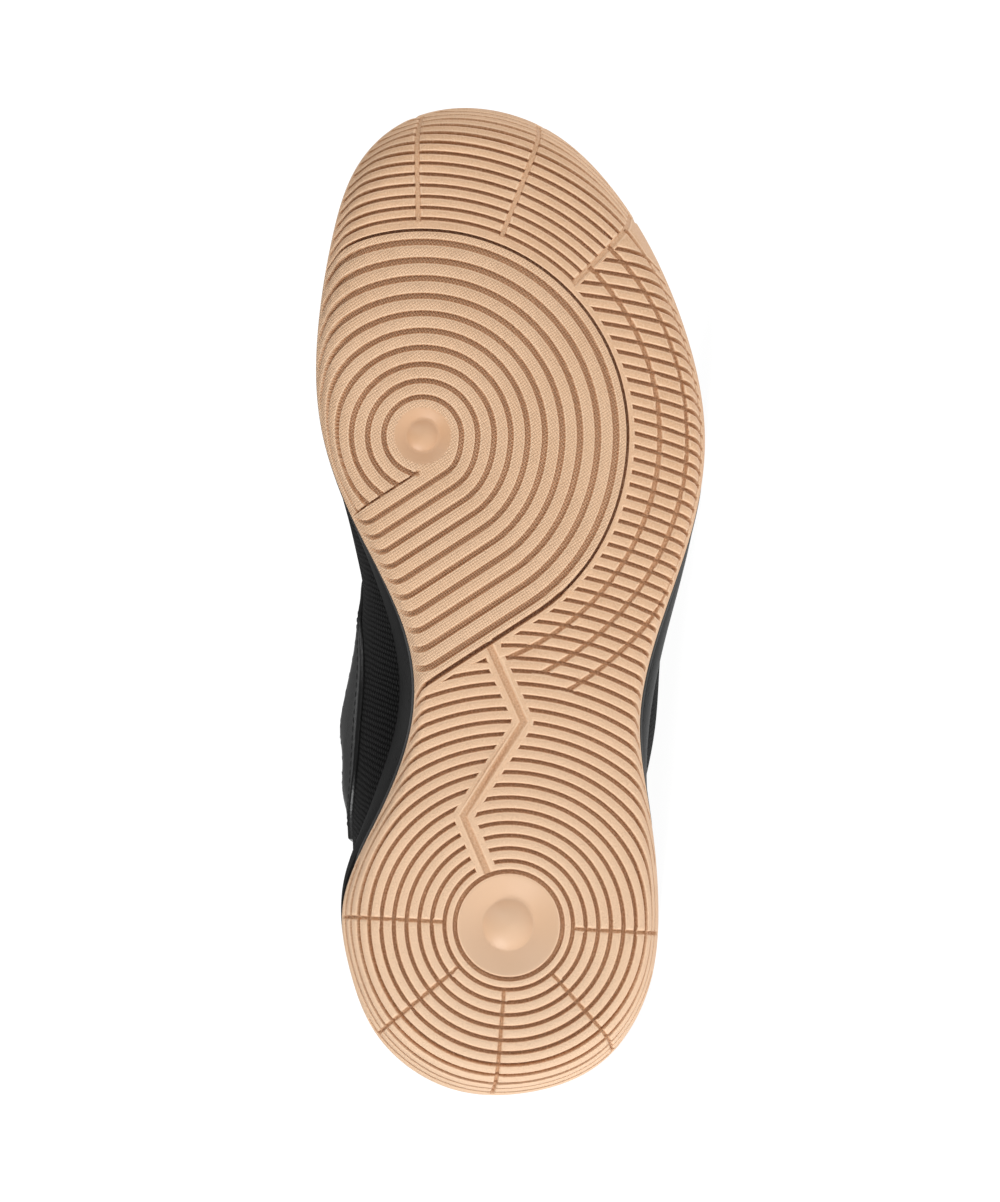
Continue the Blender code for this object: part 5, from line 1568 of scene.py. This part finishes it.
def film_material(name, greys, roughness):
    """A fused synthetic film with a fine leather grain."""
    material, tree, shader = start_material(name, roughness, Specular_IOR_Level=0.4, Coat_Weight=0.04)
    where = object_millimetres(tree)
    cells = add(tree, "ShaderNodeTexVoronoi", {"Vector": where, "Scale": CELL_SCALE}).outputs["Distance"]
    grain = noise(tree, where, FILM_GRAIN, CLOUD_DETAIL)
    cloud = noise(tree, where, FILM_CLOUD)
    paint(tree, shader, fade(tree, cloud, CLOUD_ENDS, greys))
    height = maths(tree, "MULTIPLY_ADD", grain, FILM_GRAIN_DEEP, maths(tree, "MULTIPLY", cells, CELL_DEEP))
    folds = noise(tree, where, FOLD_SCALE, 1.0)
    bump(tree, shader, maths(tree, "MULTIPLY_ADD", folds, FOLD_HIGH, height))
    rough = maths(tree, "MULTIPLY_ADD", grain, FILM_DULLING, roughness - FILM_DULLING / 2)
    tree.links.new(rough, shader.inputs["Roughness"])
    return material


film = film_material("fused_film", greys=(0.002, 0.005), roughness=0.33)
print("film:", film.name)

# %% [markdown]
# Two fused panels stiffen the knit: the eyestay, which reaches down over the inner quarter, and the heel
# counter. Each is cut from the upper's own surface, with an edge that is pressed down to a soft quarter
# round.

# %% Panels
EYESTAY_THICK, EYESTAY_END, EYESTAY_TOP = 1.2, 0.26, 0.975
EYESTAY_CORNER, EYESTAY_CORNER_RUN = 0.16, 0.16
COUNTER_THICK, COUNTER_END, COUNTER_LOW, COUNTER_HIGH, COUNTER_DROP = 1.3, 0.19, 0.06, 0.46, 0.22
PANEL_BASE, PANEL_SINK, PANEL_ROUND = 0.25, -0.2, 1.1
PANEL_ROWS, PANEL_COLUMNS, PANEL_SHARP = 30, 320, 50.0
END_COLUMNS = np.array((0.0, 0.0004, 0.001, 0.002, 0.0032))
Span = namedtuple("Span", "first last low high thick")


def eyestay_span():
    """Ends, lower edge and upper edge of the eyestay; its upper corners are rounded off."""
    reach = station_angle(EYESTAY_END)

    def high(angle):
        near_end = np.clip(1 - (reach - np.abs(angle)) / EYESTAY_CORNER_RUN, 0, 1)
        return EYESTAY_TOP - EYESTAY_CORNER * near_end**3

    return Span(-reach, reach, EYESTAY_LOW, high, EYESTAY_THICK)


def counter_span():
    """The same for the heel counter, which is highest at the heel's back."""
    half = math.pi - station_angle(COUNTER_END)

    def low(angle):
        return np.full_like(angle, COUNTER_LOW)

    def high(angle):
        return COUNTER_HIGH - COUNTER_DROP * (np.abs(angle - math.pi) / half) ** 3

    return Span(math.pi - half, math.pi + half, low, high, COUNTER_THICK)


def panel_grid(span):
    """Angles, rows and the panel's height over its edge's profile, on a grid that is finer at the edges."""
    first, last, low, high, thick = span
    spread = 0.5 - 0.5 * np.cos(np.pi * np.arange(PANEL_ROWS + 1) / PANEL_ROWS)
    even = np.linspace(0, 1, PANEL_COLUMNS)
    column = np.unique(np.concatenate([even, END_COLUMNS, 1 - END_COLUMNS]))
    angle = np.broadcast_to((first + (last - first) * column)[None], (len(spread), len(column)))
    row = low(angle) + (high(angle) - low(angle)) * spread[:, None]
    plain = upper_point(angle, row)
    up, aside = run_along(plain), run_along(plain, axis=1)
    room = np.minimum.reduce([up, up[-1:] - up, aside, aside[:, -1:] - aside])
    rise = 1 - (1 - np.clip(room / PANEL_ROUND, 0, 1)) ** 2
    return angle, row, thick * np.sqrt(np.clip(rise, 0, 1))


def make_panel(name, span, material):
    angle, row, height = panel_grid(span)
    tall, wide = angle.shape
    front = skin(angle, row, PANEL_BASE + height).reshape(-1, 3)
    back = skin(angle, row, np.full(angle.shape, PANEL_SINK)).reshape(-1, 3)
    index = np.arange(tall * wide).reshape(tall, wide)
    faces = []
    for shift in (0, tall * wide):
        for low, high in zip(index[:-1] + shift, index[1:] + shift):
            faces += bridge(low, high, closed=False)
    border = np.concatenate([index[0], index[1:, -1], index[-1, -2::-1], index[-2:0:-1, 0]])
    faces += bridge(border, border + tall * wide)
    return make_piece(name, np.concatenate([front, back]), faces, [material], sharp=PANEL_SHARP)


eyestay = make_panel("fused_eyestay", eyestay_span(), film)
counter = make_panel("fused_counter", counter_span(), film)
dress(eyestay, "eyestay")
dress(counter, "heel_counter")

# %% [markdown]
# The tongue is a padded strip under the lace. It is lofted from a short table of rows, swells between its
# seams and is quilted by two lengthwise channels. Its edges are thin, where cloth is sewn to cloth.

# %% Padded tongue
Tongue = namedtuple("Tongue", "x crown middle half drop thick")
TONGUE = (
    Tongue(219.0, 61.9, -3.0, 11.0, 1.5, 2.4),
    Tongue(203.0, 66.8, -2.4, 17.0, 3.0, 3.0),
    Tongue(186.0, 73.2, -1.6, 22.0, 4.5, 4.0),
    Tongue(161.0, 84.0, -0.8, 25.0, 9.0, 5.0),
    Tongue(129.0, 103.0, -0.6, 27.0, 15.0, 5.5),
    Tongue(101.0, 121.5, -0.6, 25.0, 13.0, 6.0),
    Tongue(86.0, 138.0, -0.6, 23.5, 9.0, 5.5),
)
TONGUE_ALONG, TONGUE_ACROSS = 90, 48
QUILT_LINES, QUILT_HALF, QUILT_DEEP = (-0.36, 0.36), 0.05, 0.8
TONGUE_END_ROUND, TONGUE_END_LEAST, TONGUE_CORNER, TONGUE_CORNER_RUN = 4.0, 0.02, 0.3, 11.0
TONGUE_PLUMP, TONGUE_THIN_SIDES = 0.55, 0.25


def smooth_rows(values, count):
    """A smooth open curve through a table's rows, at even steps."""
    values = np.asarray(values, float)
    before = np.concatenate([2 * values[:1] - values[1:2], values, 2 * values[-1:] - values[-2:-1]])
    at = np.linspace(0, len(values) - 1, count)
    i = np.minimum(at.astype(int), len(values) - 2)
    t = (at - i)[:, None]
    a, b, c, d = (before[i + k] for k in range(4))
    return b + 0.5 * t * (c - a + t * (2 * a - 5 * b + 4 * c - d + t * (3 * (b - c) + d - a)))


def make_tongue(material):
    table = smooth_rows(TONGUE, TONGUE_ALONG)
    spine = table[:, :2]
    way = unit(np.gradient(spine, axis=0))
    run = run_along(spine)
    turn = np.linspace(0, FULL_TURN, 2 * TONGUE_ACROSS, endpoint=False)
    across = np.cos(turn)
    rows = []
    for (x, crown, middle, half, drop, thick), (way_x, way_z), at in zip(table, way, run):
        up = np.array((way_z, 0.0, -way_x))
        end = math.sqrt(np.clip(min(at, run[-1] - at) / TONGUE_END_ROUND, TONGUE_END_LEAST, 1))
        plump = np.abs(np.sin(turn)) ** TONGUE_PLUMP * (1 - TONGUE_THIN_SIDES * across**4) * end
        quilt = sum(hump(across, line, QUILT_HALF) for line in QUILT_LINES)
        side = np.where(np.sin(turn) >= 0, 1, -1)
        tuck = QUILT_DEEP * quilt * end * (side > 0)
        height = -thick / 2 + side * plump * thick / 2 - tuck
        corner = np.clip(1 - (run[-1] - at) / TONGUE_CORNER_RUN, 0, 1)
        half *= 1 - TONGUE_CORNER * (1 - math.sqrt(1 - corner**2))
        core = np.array((x, middle, crown))
        rows.append(core + np.outer(across * half, (0, 1, 0)) + np.outer(height - drop * across**2, up))
    loops, faces = row_loops(rows)
    faces += [tuple(loops[0]), tuple(loops[-1])]
    return make_piece("padded_tongue", np.concatenate(rows), faces, [material], sharp=CLOTH_SHARP)


tongue_knit = cloth_material("tongue_knit", pitch=1.3, greys=(0.003, 0.014), depth=0.22, roughness=0.85)
tongue = make_tongue(tongue_knit)
dress(tongue, "tongue")

# %% [markdown]
# Stitches, eyelets and pinholes are one small shape repeated along a line or over a panel. Geometry Nodes
# do that well: a mesh of bare points says where, two attributes say which way is out and which way is
# along, and a tree puts the shape on every point. The result is then kept as a plain mesh.

# %% Geometry Nodes helpers
def seeds(name, points, facing, along, edges=(), wide=None):
    """A mesh of points with the directions that a tree needs."""
    mesh = bpy.data.meshes.new(name)
    mesh.from_pydata(place(points).tolist(), list(edges), [])
    for key, vectors in (("facing", facing), ("along", along)):
        attribute = mesh.attributes.new(key, "FLOAT_VECTOR", "POINT")
        attribute.data.foreach_set("vector", (vectors @ AXES).astype(np.float32).ravel())
    if wide is not None:
        attribute = mesh.attributes.new("wide", "FLOAT", "POINT")
        attribute.data.foreach_set("value", np.asarray(wide, np.float32))
    return mesh


def named(tree, key, kind="FLOAT_VECTOR"):
    return add(tree, "GeometryNodeInputNamedAttribute", {"Name": key}, data_type=kind).outputs["Attribute"]


def start_tree(name, sizes):
    """A tree with a geometry input, named sizes in metres and a finish."""
    tree = bpy.data.node_groups.new(name, "GeometryNodeTree")
    face = tree.interface
    face.new_socket("Geometry", in_out="INPUT", socket_type="NodeSocketGeometry")
    for label in sizes:
        face.new_socket(label, in_out="INPUT", socket_type="NodeSocketFloat")
    face.new_socket("Finish", in_out="INPUT", socket_type="NodeSocketMaterial")
    face.new_socket("Geometry", in_out="OUTPUT", socket_type="NodeSocketGeometry")
    return tree, add(tree, "NodeGroupInput").outputs


def end_tree(tree, shape, source):
    """Realizes the instances, sets the finish and gives the result out."""
    smooth = add(tree, "GeometryNodeSetShadeSmooth", {"Geometry": shape}).outputs[0]
    real = add(tree, "GeometryNodeRealizeInstances", {"Geometry": smooth}).outputs[0]
    done = add(tree, "GeometryNodeSetMaterial", {"Geometry": real, "Material": source["Finish"]}).outputs[0]
    add(tree, "NodeGroupOutput", {"Geometry": done})
    return tree


def scatter_tree(name, sizes, shape):
    """A tree that puts a shape on every point, its z facing out and its x along."""
    tree, source = start_tree(name, sizes)
    ways = {"Primary Axis": named(tree, "facing"), "Secondary Axis": named(tree, "along")}
    turn = add(tree, "FunctionNodeAxesToRotation", ways, primary_axis="Z", secondary_axis="X").outputs[0]
    dots = {"Points": source["Geometry"], "Instance": shape(tree, source), "Rotation": turn}
    return end_tree(tree, add(tree, "GeometryNodeInstanceOnPoints", dots).outputs[0], source)


def grown(name, tree, mesh, slot, **values):
    """Runs a tree on a mesh of points and keeps the result as a plain piece of the shoe."""
    carrier = new_object(name + "_seeds", mesh)
    modifier = carrier.modifiers.new("grow", "NODES")
    modifier.node_group = tree
    for item in tree.interface.items_tree:
        if item.in_out == "INPUT" and item.name in values:
            modifier[item.identifier] = values[item.name]
    depsgraph = bpy.context.evaluated_depsgraph_get()
    made = bpy.data.meshes.new_from_object(carrier.evaluated_get(depsgraph), depsgraph=depsgraph)
    bpy.data.objects.remove(carrier)
    piece = new_object(name, made)
    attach(piece, "root")
    print(name + ":", len(made.polygons), "faces")
    return piece


print("tree helpers ready")

# %% [markdown]
# A machine seam is a row of short, slightly sunk loops of thread at an even pitch. Each row here is a
# line on the upper, given as angles and rows of its surface, so that it keeps its distance from the
# panel's edge.

# %% Stitched seams
STITCH_PITCH, STITCH_LONG, STITCH_WIDE, STITCH_HIGH = 2.7, 2.0, 0.6, 0.42
SEAM_INSET, COUNTER_SEAM_INSET, SEAM_END, SEAM_AHEAD = 0.032, 0.022, 0.03, 0.5
COLLAR_SEAM_END, COLLAR_SEAM_ROW, COLLAR_SEAM_STAND = 0.36, 0.962, 0.1
RIM_SEAM_ROW, RIM_SEAM_STAND, RIM_SEAM_PITCH, RIM_STITCH_LONG = 0.035, 0.12, 2.2, 1.3
EYESTAY_SAMPLES, COUNTER_SAMPLES, COLLAR_SAMPLES, RIM_SAMPLES = 1200, 400, 600, 1600
SEAM_NUDGE, STITCH_SIDES, STITCH_RINGS = 1e-9, 8, 5
THREAD_TWIST, THREAD_WAVER, THREAD_ENDS, THREAD_HIGH = 1.3, 1.5, (0.2, 0.8), 0.08


def stitch_shape(tree, source):
    round_ball = {"Segments": STITCH_SIDES, "Rings": STITCH_RINGS, "Radius": 0.5}
    ball = add(tree, "GeometryNodeMeshUVSphere", round_ball).outputs["Mesh"]
    size = add(tree, "ShaderNodeCombineXYZ", {"X": source["Long"], "Y": source["Wide"], "Z": source["High"]})
    return add(tree, "GeometryNodeTransform", {"Geometry": ball, "Scale": size.outputs[0]}).outputs[0]


def seam(angle, row, offset, pitch=STITCH_PITCH):
    """Places, outward directions and ways of the stitches along a line on the upper."""
    line = skin(angle, row, offset)
    run = run_along(line)
    at = np.arange(pitch / 2, run[-1], pitch)
    points, ahead = at_run(line, run, at), at_run(line, run, at + SEAM_AHEAD)
    facing = upper_normal(np.interp(at, run, angle), np.interp(at, run, np.broadcast_to(row, angle.shape)))
    return points, facing, unit(ahead - points + SEAM_NUDGE)


def around(middle, half, count):
    """Even angles on both sides of a middle."""
    return middle + np.linspace(-half, half, count)


def seams_of(*rows):
    """Several seams as one."""
    return [np.concatenate(columns) for columns in zip(*rows)]


def thread_material(name, greys):
    material, tree, shader = start_material(name, 0.6, Specular_IOR_Level=0.15, Sheen_Weight=0.04)
    wave = {"Vector": object_millimetres(tree), "Scale": THREAD_TWIST, "Distortion": THREAD_WAVER}
    twist = add(tree, "ShaderNodeTexWave", wave).outputs["Fac"]
    paint(tree, shader, fade(tree, twist, THREAD_ENDS, greys))
    bump(tree, shader, maths(tree, "MULTIPLY", twist, THREAD_HIGH))
    return material


on_eyestay = around(0.0, station_angle(EYESTAY_END) - SEAM_END, EYESTAY_SAMPLES)
on_counter = around(math.pi, math.pi - station_angle(COUNTER_END) - SEAM_END, COUNTER_SAMPLES)
on_collar = around(math.pi, math.pi - station_angle(COLLAR_SEAM_END), COLLAR_SAMPLES)
all_round = around(0.0, math.pi, RIM_SAMPLES)
eyestay_face, counter_face = PANEL_BASE + EYESTAY_THICK, PANEL_BASE + COUNTER_THICK
dark_seams = seams_of(
    seam(on_eyestay, EYESTAY_LOW(on_eyestay) + SEAM_INSET, eyestay_face),
    seam(on_eyestay, eyestay_span().high(on_eyestay) - SEAM_INSET, eyestay_face),
    seam(on_counter, counter_span().high(on_counter) - COUNTER_SEAM_INSET, counter_face),
    seam(on_collar, np.full_like(on_collar, COLLAR_SEAM_ROW), COLLAR_SEAM_STAND),
)
light_seam = seam(all_round, np.full_like(all_round, RIM_SEAM_ROW), RIM_SEAM_STAND, RIM_SEAM_PITCH)
stitch_tree = scatter_tree("stitch_row", ("Long", "Wide", "High"), stitch_shape)
stitch_sizes = {"Long": STITCH_LONG * MM, "Wide": STITCH_WIDE * MM, "High": STITCH_HIGH * MM}
black_thread = thread_material("black_thread", greys=(0.012, 0.04))
pale_thread = thread_material("pale_thread", greys=(0.10, 0.22))
dark_seeds, light_seeds = seeds("panel_seams", *dark_seams), seeds("rim_seam", *light_seam)
grown("panel_seams", stitch_tree, dark_seeds, "black_overlay", Finish=black_thread, **stitch_sizes)
stitch_sizes["Long"] = RIM_STITCH_LONG * MM
grown("rim_seam", stitch_tree, light_seeds, "black_knit", Finish=pale_thread, **stitch_sizes)

# %% [markdown]
# The inner quarter's panel is punched with rows of pinholes, and six pairs of eyelets run up the throat.
# A bound eyelet is a ring sunk into the panel round a dark bore; both parts are swept or filled circles.
# The bores and the pinholes are dark discs laid on the panel: their darkness is partly the black cloth
# under a hole and partly painted shade.

# %% Pinholes and eyelets
PINHOLE_RADIUS, PINHOLE_DEEP = 0.75, 0.1
PINHOLE_ROWS, PINHOLE_RUN, PINHOLE_STAGGER = (0.46, 0.80, 0.058), (0.315, 0.475, 0.0165), 0.008
EYELETS, EYELET_FIRST, EYELET_PITCH, EYELET_ROW = 6, 0.405, 0.055, 0.88
EYELET_BORE, EYELET_DEEP, EYELET_RING, RING_OUT = 2.3, 0.12, 0.6, 0.6
HOLE_SIDES, RING_POINTS, WIRE_POINTS = 14, 24, 8
BORE_FUZZ, BORE_ENDS, BORE_GREYS = 2.0, (0.2, 0.8), (0.001, 0.003)


def disc_shape(tree, source):
    sizes = {"Vertices": HOLE_SIDES, "Radius": source["Radius"], "Depth": source["Deep"]}
    return add(tree, "GeometryNodeMeshCylinder", sizes).outputs["Mesh"]


def circle(tree, points, radius):
    return add(tree, "GeometryNodeCurvePrimitiveCircle", {"Resolution": points, "Radius": radius}).outputs[0]


def ring_shape(tree, source):
    path, wire = circle(tree, RING_POINTS, source["Radius"]), circle(tree, WIRE_POINTS, source["Wire"])
    return add(tree, "GeometryNodeCurveToMesh", {"Curve": path, "Profile Curve": wire}).outputs[0]


def pinhole_places():
    """Angles and rows of the pinholes, every other row staggered."""
    angles, rows = [], []
    first, last, pitch = PINHOLE_RUN
    for number, row in enumerate(np.arange(*PINHOLE_ROWS)):
        along = np.arange(first + PINHOLE_STAGGER * (number % 2), last, pitch)
        angles += [-station_angle(share) for share in along]
        rows += [row] * len(along)
    return np.array(angles), np.array(rows)


def on_upper(angle, row, offset):
    """Places on the upper, with the ways out and along."""
    points = skin(angle, row, offset)
    return points, upper_normal(angle, row), unit(skin(angle + SLOPE_STEP, row, offset) - points)


def eyelet(number, side):
    """Angle of an eyelet: number 0 is the top pair, side 1 the outer and -1 the inner side."""
    return side * station_angle(EYELET_FIRST + EYELET_PITCH * number)


# Dark discs for the holes: partly the black cloth below, partly painted shade.
def bore_material():
    material, tree, shader = start_material("dark_bore", 0.95, Specular_IOR_Level=0.1)
    fuzz = noise(tree, object_millimetres(tree), BORE_FUZZ)
    paint(tree, shader, fade(tree, fuzz, BORE_ENDS, BORE_GREYS))
    return material


eyelet_angles = np.array([eyelet(number, side) for number in range(EYELETS) for side in (1, -1)])
eyelet_rows = np.full_like(eyelet_angles, EYELET_ROW)
bore = bore_material()
disc_tree = scatter_tree("punched_disc", ("Radius", "Deep"), disc_shape)
ring_tree = scatter_tree("bound_ring", ("Radius", "Wire"), ring_shape)
pinholes = seeds("pinholes", *on_upper(*pinhole_places(), eyestay_face))
hole_sizes = {"Radius": PINHOLE_RADIUS * MM, "Deep": PINHOLE_DEEP * MM}
grown("pinholes", disc_tree, pinholes, "black_overlay", Finish=bore, **hole_sizes)
eyelet_places = on_upper(eyelet_angles, eyelet_rows, eyestay_face)
bores, rings = seeds("bores", *eyelet_places), seeds("rings", *eyelet_places)
bore_sizes = {"Radius": EYELET_BORE * MM, "Deep": EYELET_DEEP * MM}
grown("eyelet_bores", disc_tree, bores, "black_overlay", Finish=bore, **bore_sizes)
ring_sizes = {"Radius": (EYELET_BORE + EYELET_RING * RING_OUT) * MM, "Wire": EYELET_RING * MM}
grown("eyelet_rings", ring_tree, rings, "black_overlay", Finish=black_thread, **ring_sizes)

# %% [markdown]
# The lace is a flat woven band. From every eyelet it runs over the throat's edge and crosses to the next
# eyelet on the other side, one band over the other. Its ends stop in the top eyelets. Each run is a line
# with an up direction and a width.

# %% Lace path
LACE_WIDTH, LACE_THICK, LACE_CROSS_LIFT = 6.0, 1.4, 1.7
LACE_POINTS, LACE_REACH, LACE_DRIFT, LACE_END_LIFT, LACE_CLEAR = 15, 0.2, 0.18, 0.5, 0.3
LACE_STEP, LACE_FINE, LACE_END_POINTS = 1.0, 12, 5
LACE_SINK, LACE_BACK, LACE_AHEAD, LACE_CROSS_HALF = -0.2, 0.6, 1.2, 0.3
LACE_NARROW, LACE_WIDENS, LACE_WIDE_ENDS = 0.72, 0.28, (1.0, 6.0)


def lace_bar(start, end, lift):
    """Points, up directions, ways and widths of a lace from one eyelet over the throat to another."""
    base = PANEL_BASE + EYESTAY_THICK + LACE_CLEAR + LACE_THICK / 2 + (LACE_END_LIFT if lift else 0.0)
    holes, sunk, edges, ways, ups = [], [], [], [], []
    for angle, other in ((start, end), (end, start)):
        brink = angle + LACE_DRIFT * (abs(other) - abs(angle)) * np.sign(angle)
        inward = upper_point(brink, 1.0) - upper_point(angle, EYELET_ROW)
        holes.append(skin(angle, EYELET_ROW, base))
        sunk.append(skin(angle, EYELET_ROW, LACE_SINK) - unit(inward) * LACE_BACK)
        edges.append(upper_point(brink, 1.0) + upper_normal(brink, 1.0) * base)
        ways.append(unit(inward))
        ups.append(upper_normal(brink, 1.0))
    reach = LACE_REACH * np.linalg.norm(edges[1] - edges[0])
    share = np.linspace(0, 1, LACE_POINTS)[:, None]
    rest = 1 - share
    arch = rest**3 * edges[0] + share**3 * edges[1]
    arch = arch + 3 * rest**2 * share * (edges[0] + ways[0] * reach)
    arch = arch + 3 * rest * share**2 * (edges[1] + ways[1] * reach)
    up = unit(rest * ups[0] + share * ups[1] + 2.0 * rest * share * (ups[0] + ups[1]))
    arch = arch + up * lift * hump(share, 0.5, LACE_CROSS_HALF)
    ahead = [hole + way * LACE_AHEAD for hole, way in zip(holes, ways)]
    knots = np.concatenate([sunk[:1], ahead[:1], arch, ahead[1:], sunk[1:]])
    lines = np.concatenate([ups[:1], ups[:1], up, ups[1:], ups[1:]])
    fine = [smooth_rows(table, LACE_FINE * len(knots)) for table in (knots, lines)]
    path = resampled(np.column_stack(fine), LACE_STEP)
    way = unit(np.gradient(path[:, :3], axis=0))
    side = unit(np.cross(way, path[:, 3:]))
    side[:LACE_END_POINTS] = side[LACE_END_POINTS]
    side[-LACE_END_POINTS:] = side[-LACE_END_POINTS - 1]
    run = np.arange(len(path)) * LACE_STEP
    wide = LACE_NARROW + LACE_WIDENS * smooth_step(np.minimum(run, run[-1] - run), *LACE_WIDE_ENDS)
    return path[:, :3], np.cross(side, way), way, wide


bars = [(eyelet(EYELETS - 1, -1), eyelet(EYELETS - 1, 1), 0.0)]
for number in range(EYELETS - 1):
    bars.append((eyelet(number + 1, -1), eyelet(number, 1), 0.0))
    bars.append((eyelet(number + 1, 1), eyelet(number, -1), LACE_CROSS_LIFT))
lace_bars = [lace_bar(*bar) for bar in bars]
print(len(lace_bars), "runs of lace")

# %% [markdown]
# A tree sweeps a rounded oblong along these lines. It keeps the run along the band and the place across
# it, from which the material weaves its diagonal yarns.

# %% Woven lace
LACE_YARN, LACE_CORD, LACE_YARN_HIGH, LACE_ROUND = 1.4, 1.1, 0.25, 0.45
OBLONG_CUTS, CORNER_POINTS = 5, 3
LACE_ENDS, LACE_GREYS = (0.1, 0.9), (0.004, 0.022)


def stored(tree, shape, key, value):
    """Keeps a value at every point under a name, for the material."""
    inputs = {"Geometry": shape, "Name": key, "Value": value}
    return add(tree, "GeometryNodeStoreNamedAttribute", inputs).outputs[0]


def lace_tree():
    tree, source = start_tree("woven_band", ("Width", "Thick"))
    band = add(tree, "GeometryNodeMeshToCurve", {"Mesh": source["Geometry"]}).outputs[0]
    run = add(tree, "GeometryNodeSplineParameter").outputs["Length"]
    band = stored(tree, band, "run", run)
    facing = {"Curve": band, "Normal": named(tree, "facing")}
    band = add(tree, "GeometryNodeSetCurveNormal", facing, mode="FREE").outputs[0]
    sides = {"Width": source["Thick"], "Height": source["Width"]}
    oblong = add(tree, "GeometryNodeCurvePrimitiveQuadrilateral", sides).outputs[0]
    oblong = add(tree, "GeometryNodeSubdivideCurve", {"Curve": oblong, "Cuts": OBLONG_CUTS}).outputs[0]
    turn = maths(tree, "MULTIPLY", source["Thick"], LACE_ROUND)
    corners = {"Curve": oblong, "Radius": turn, "Count": CORNER_POINTS, "Limit Radius": True}
    oblong = add(tree, "GeometryNodeFilletCurve", corners, mode="POLY").outputs[0]
    across = axes_of(tree, add(tree, "GeometryNodeInputPosition").outputs[0])["Y"]
    oblong = stored(tree, oblong, "across", across)
    sweep = {"Curve": band, "Profile Curve": oblong, "Scale": named(tree, "wide", "FLOAT"), "Fill Caps": True}
    return end_tree(tree, add(tree, "GeometryNodeCurveToMesh", sweep).outputs[0], source)


def lace_material():
    """Diagonal yarns that cross in the middle of the band, as on a flat braid."""
    material, tree, shader = start_material("woven_lace", 0.75, Specular_IOR_Level=0.1, Sheen_Weight=0.05)
    run, across = point_value(tree, "run"), point_value(tree, "across")
    slope = maths(tree, "ABSOLUTE", across)
    turn = maths(tree, "MULTIPLY", maths(tree, "ADD", run, slope), FULL_TURN / (LACE_YARN * MM))
    cord = maths(tree, "SINE", maths(tree, "MULTIPLY", across, FULL_TURN / (LACE_CORD * MM)))
    height = maths(tree, "MULTIPLY_ADD", maths(tree, "MULTIPLY", maths(tree, "SINE", turn), cord), 0.5, 0.5)
    paint(tree, shader, fade(tree, height, LACE_ENDS, LACE_GREYS))
    bump(tree, shader, maths(tree, "MULTIPLY", height, LACE_YARN_HIGH))
    return material


def make_lace(bars):
    edges, first = [], 0
    for bar in bars:
        edges += [(first + i, first + i + 1) for i in range(len(bar[0]) - 1)]
        first += len(bar[0])
    points, facing, along, wide = (np.concatenate(column) for column in zip(*bars))
    mesh = seeds("lace_lines", points, facing, along, edges, wide)
    sizes = {"Width": LACE_WIDTH * MM, "Thick": LACE_THICK * MM}
    return grown("woven_lace", lace_tree(), mesh, "black_lace", Finish=lace_material(), **sizes)


lace = make_lace(lace_bars)
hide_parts("lace")

# %% [markdown]
# The floor is a wide plane that glows a little, like a light table. It belongs to the stage and not to
# the shoe.

# %% Stage
FLOOR_HALF, FLOOR_PAINT, FLOOR_GLOW = 40.0, 0.12, 0.97


def make_floor():
    mesh = bpy.data.meshes.new("studio_floor")
    h = FLOOR_HALF
    mesh.from_pydata([(-h, -h, 0), (h, -h, 0), (h, h, 0), (-h, h, 0)], [], [(0, 1, 2, 3)])
    material, _, shader = start_material("pale_floor", 0.9)
    shader.inputs["Base Color"].default_value = (*grey(FLOOR_PAINT), 1)
    shader.inputs["Emission Color"].default_value = (1, 1, 1, 1)
    shader.inputs["Emission Strength"].default_value = FLOOR_GLOW
    mesh.materials.append(material)
    return new_object("studio_floor", mesh)


floor = make_floor()
print("floor:", 2 * FLOOR_HALF, "m wide")
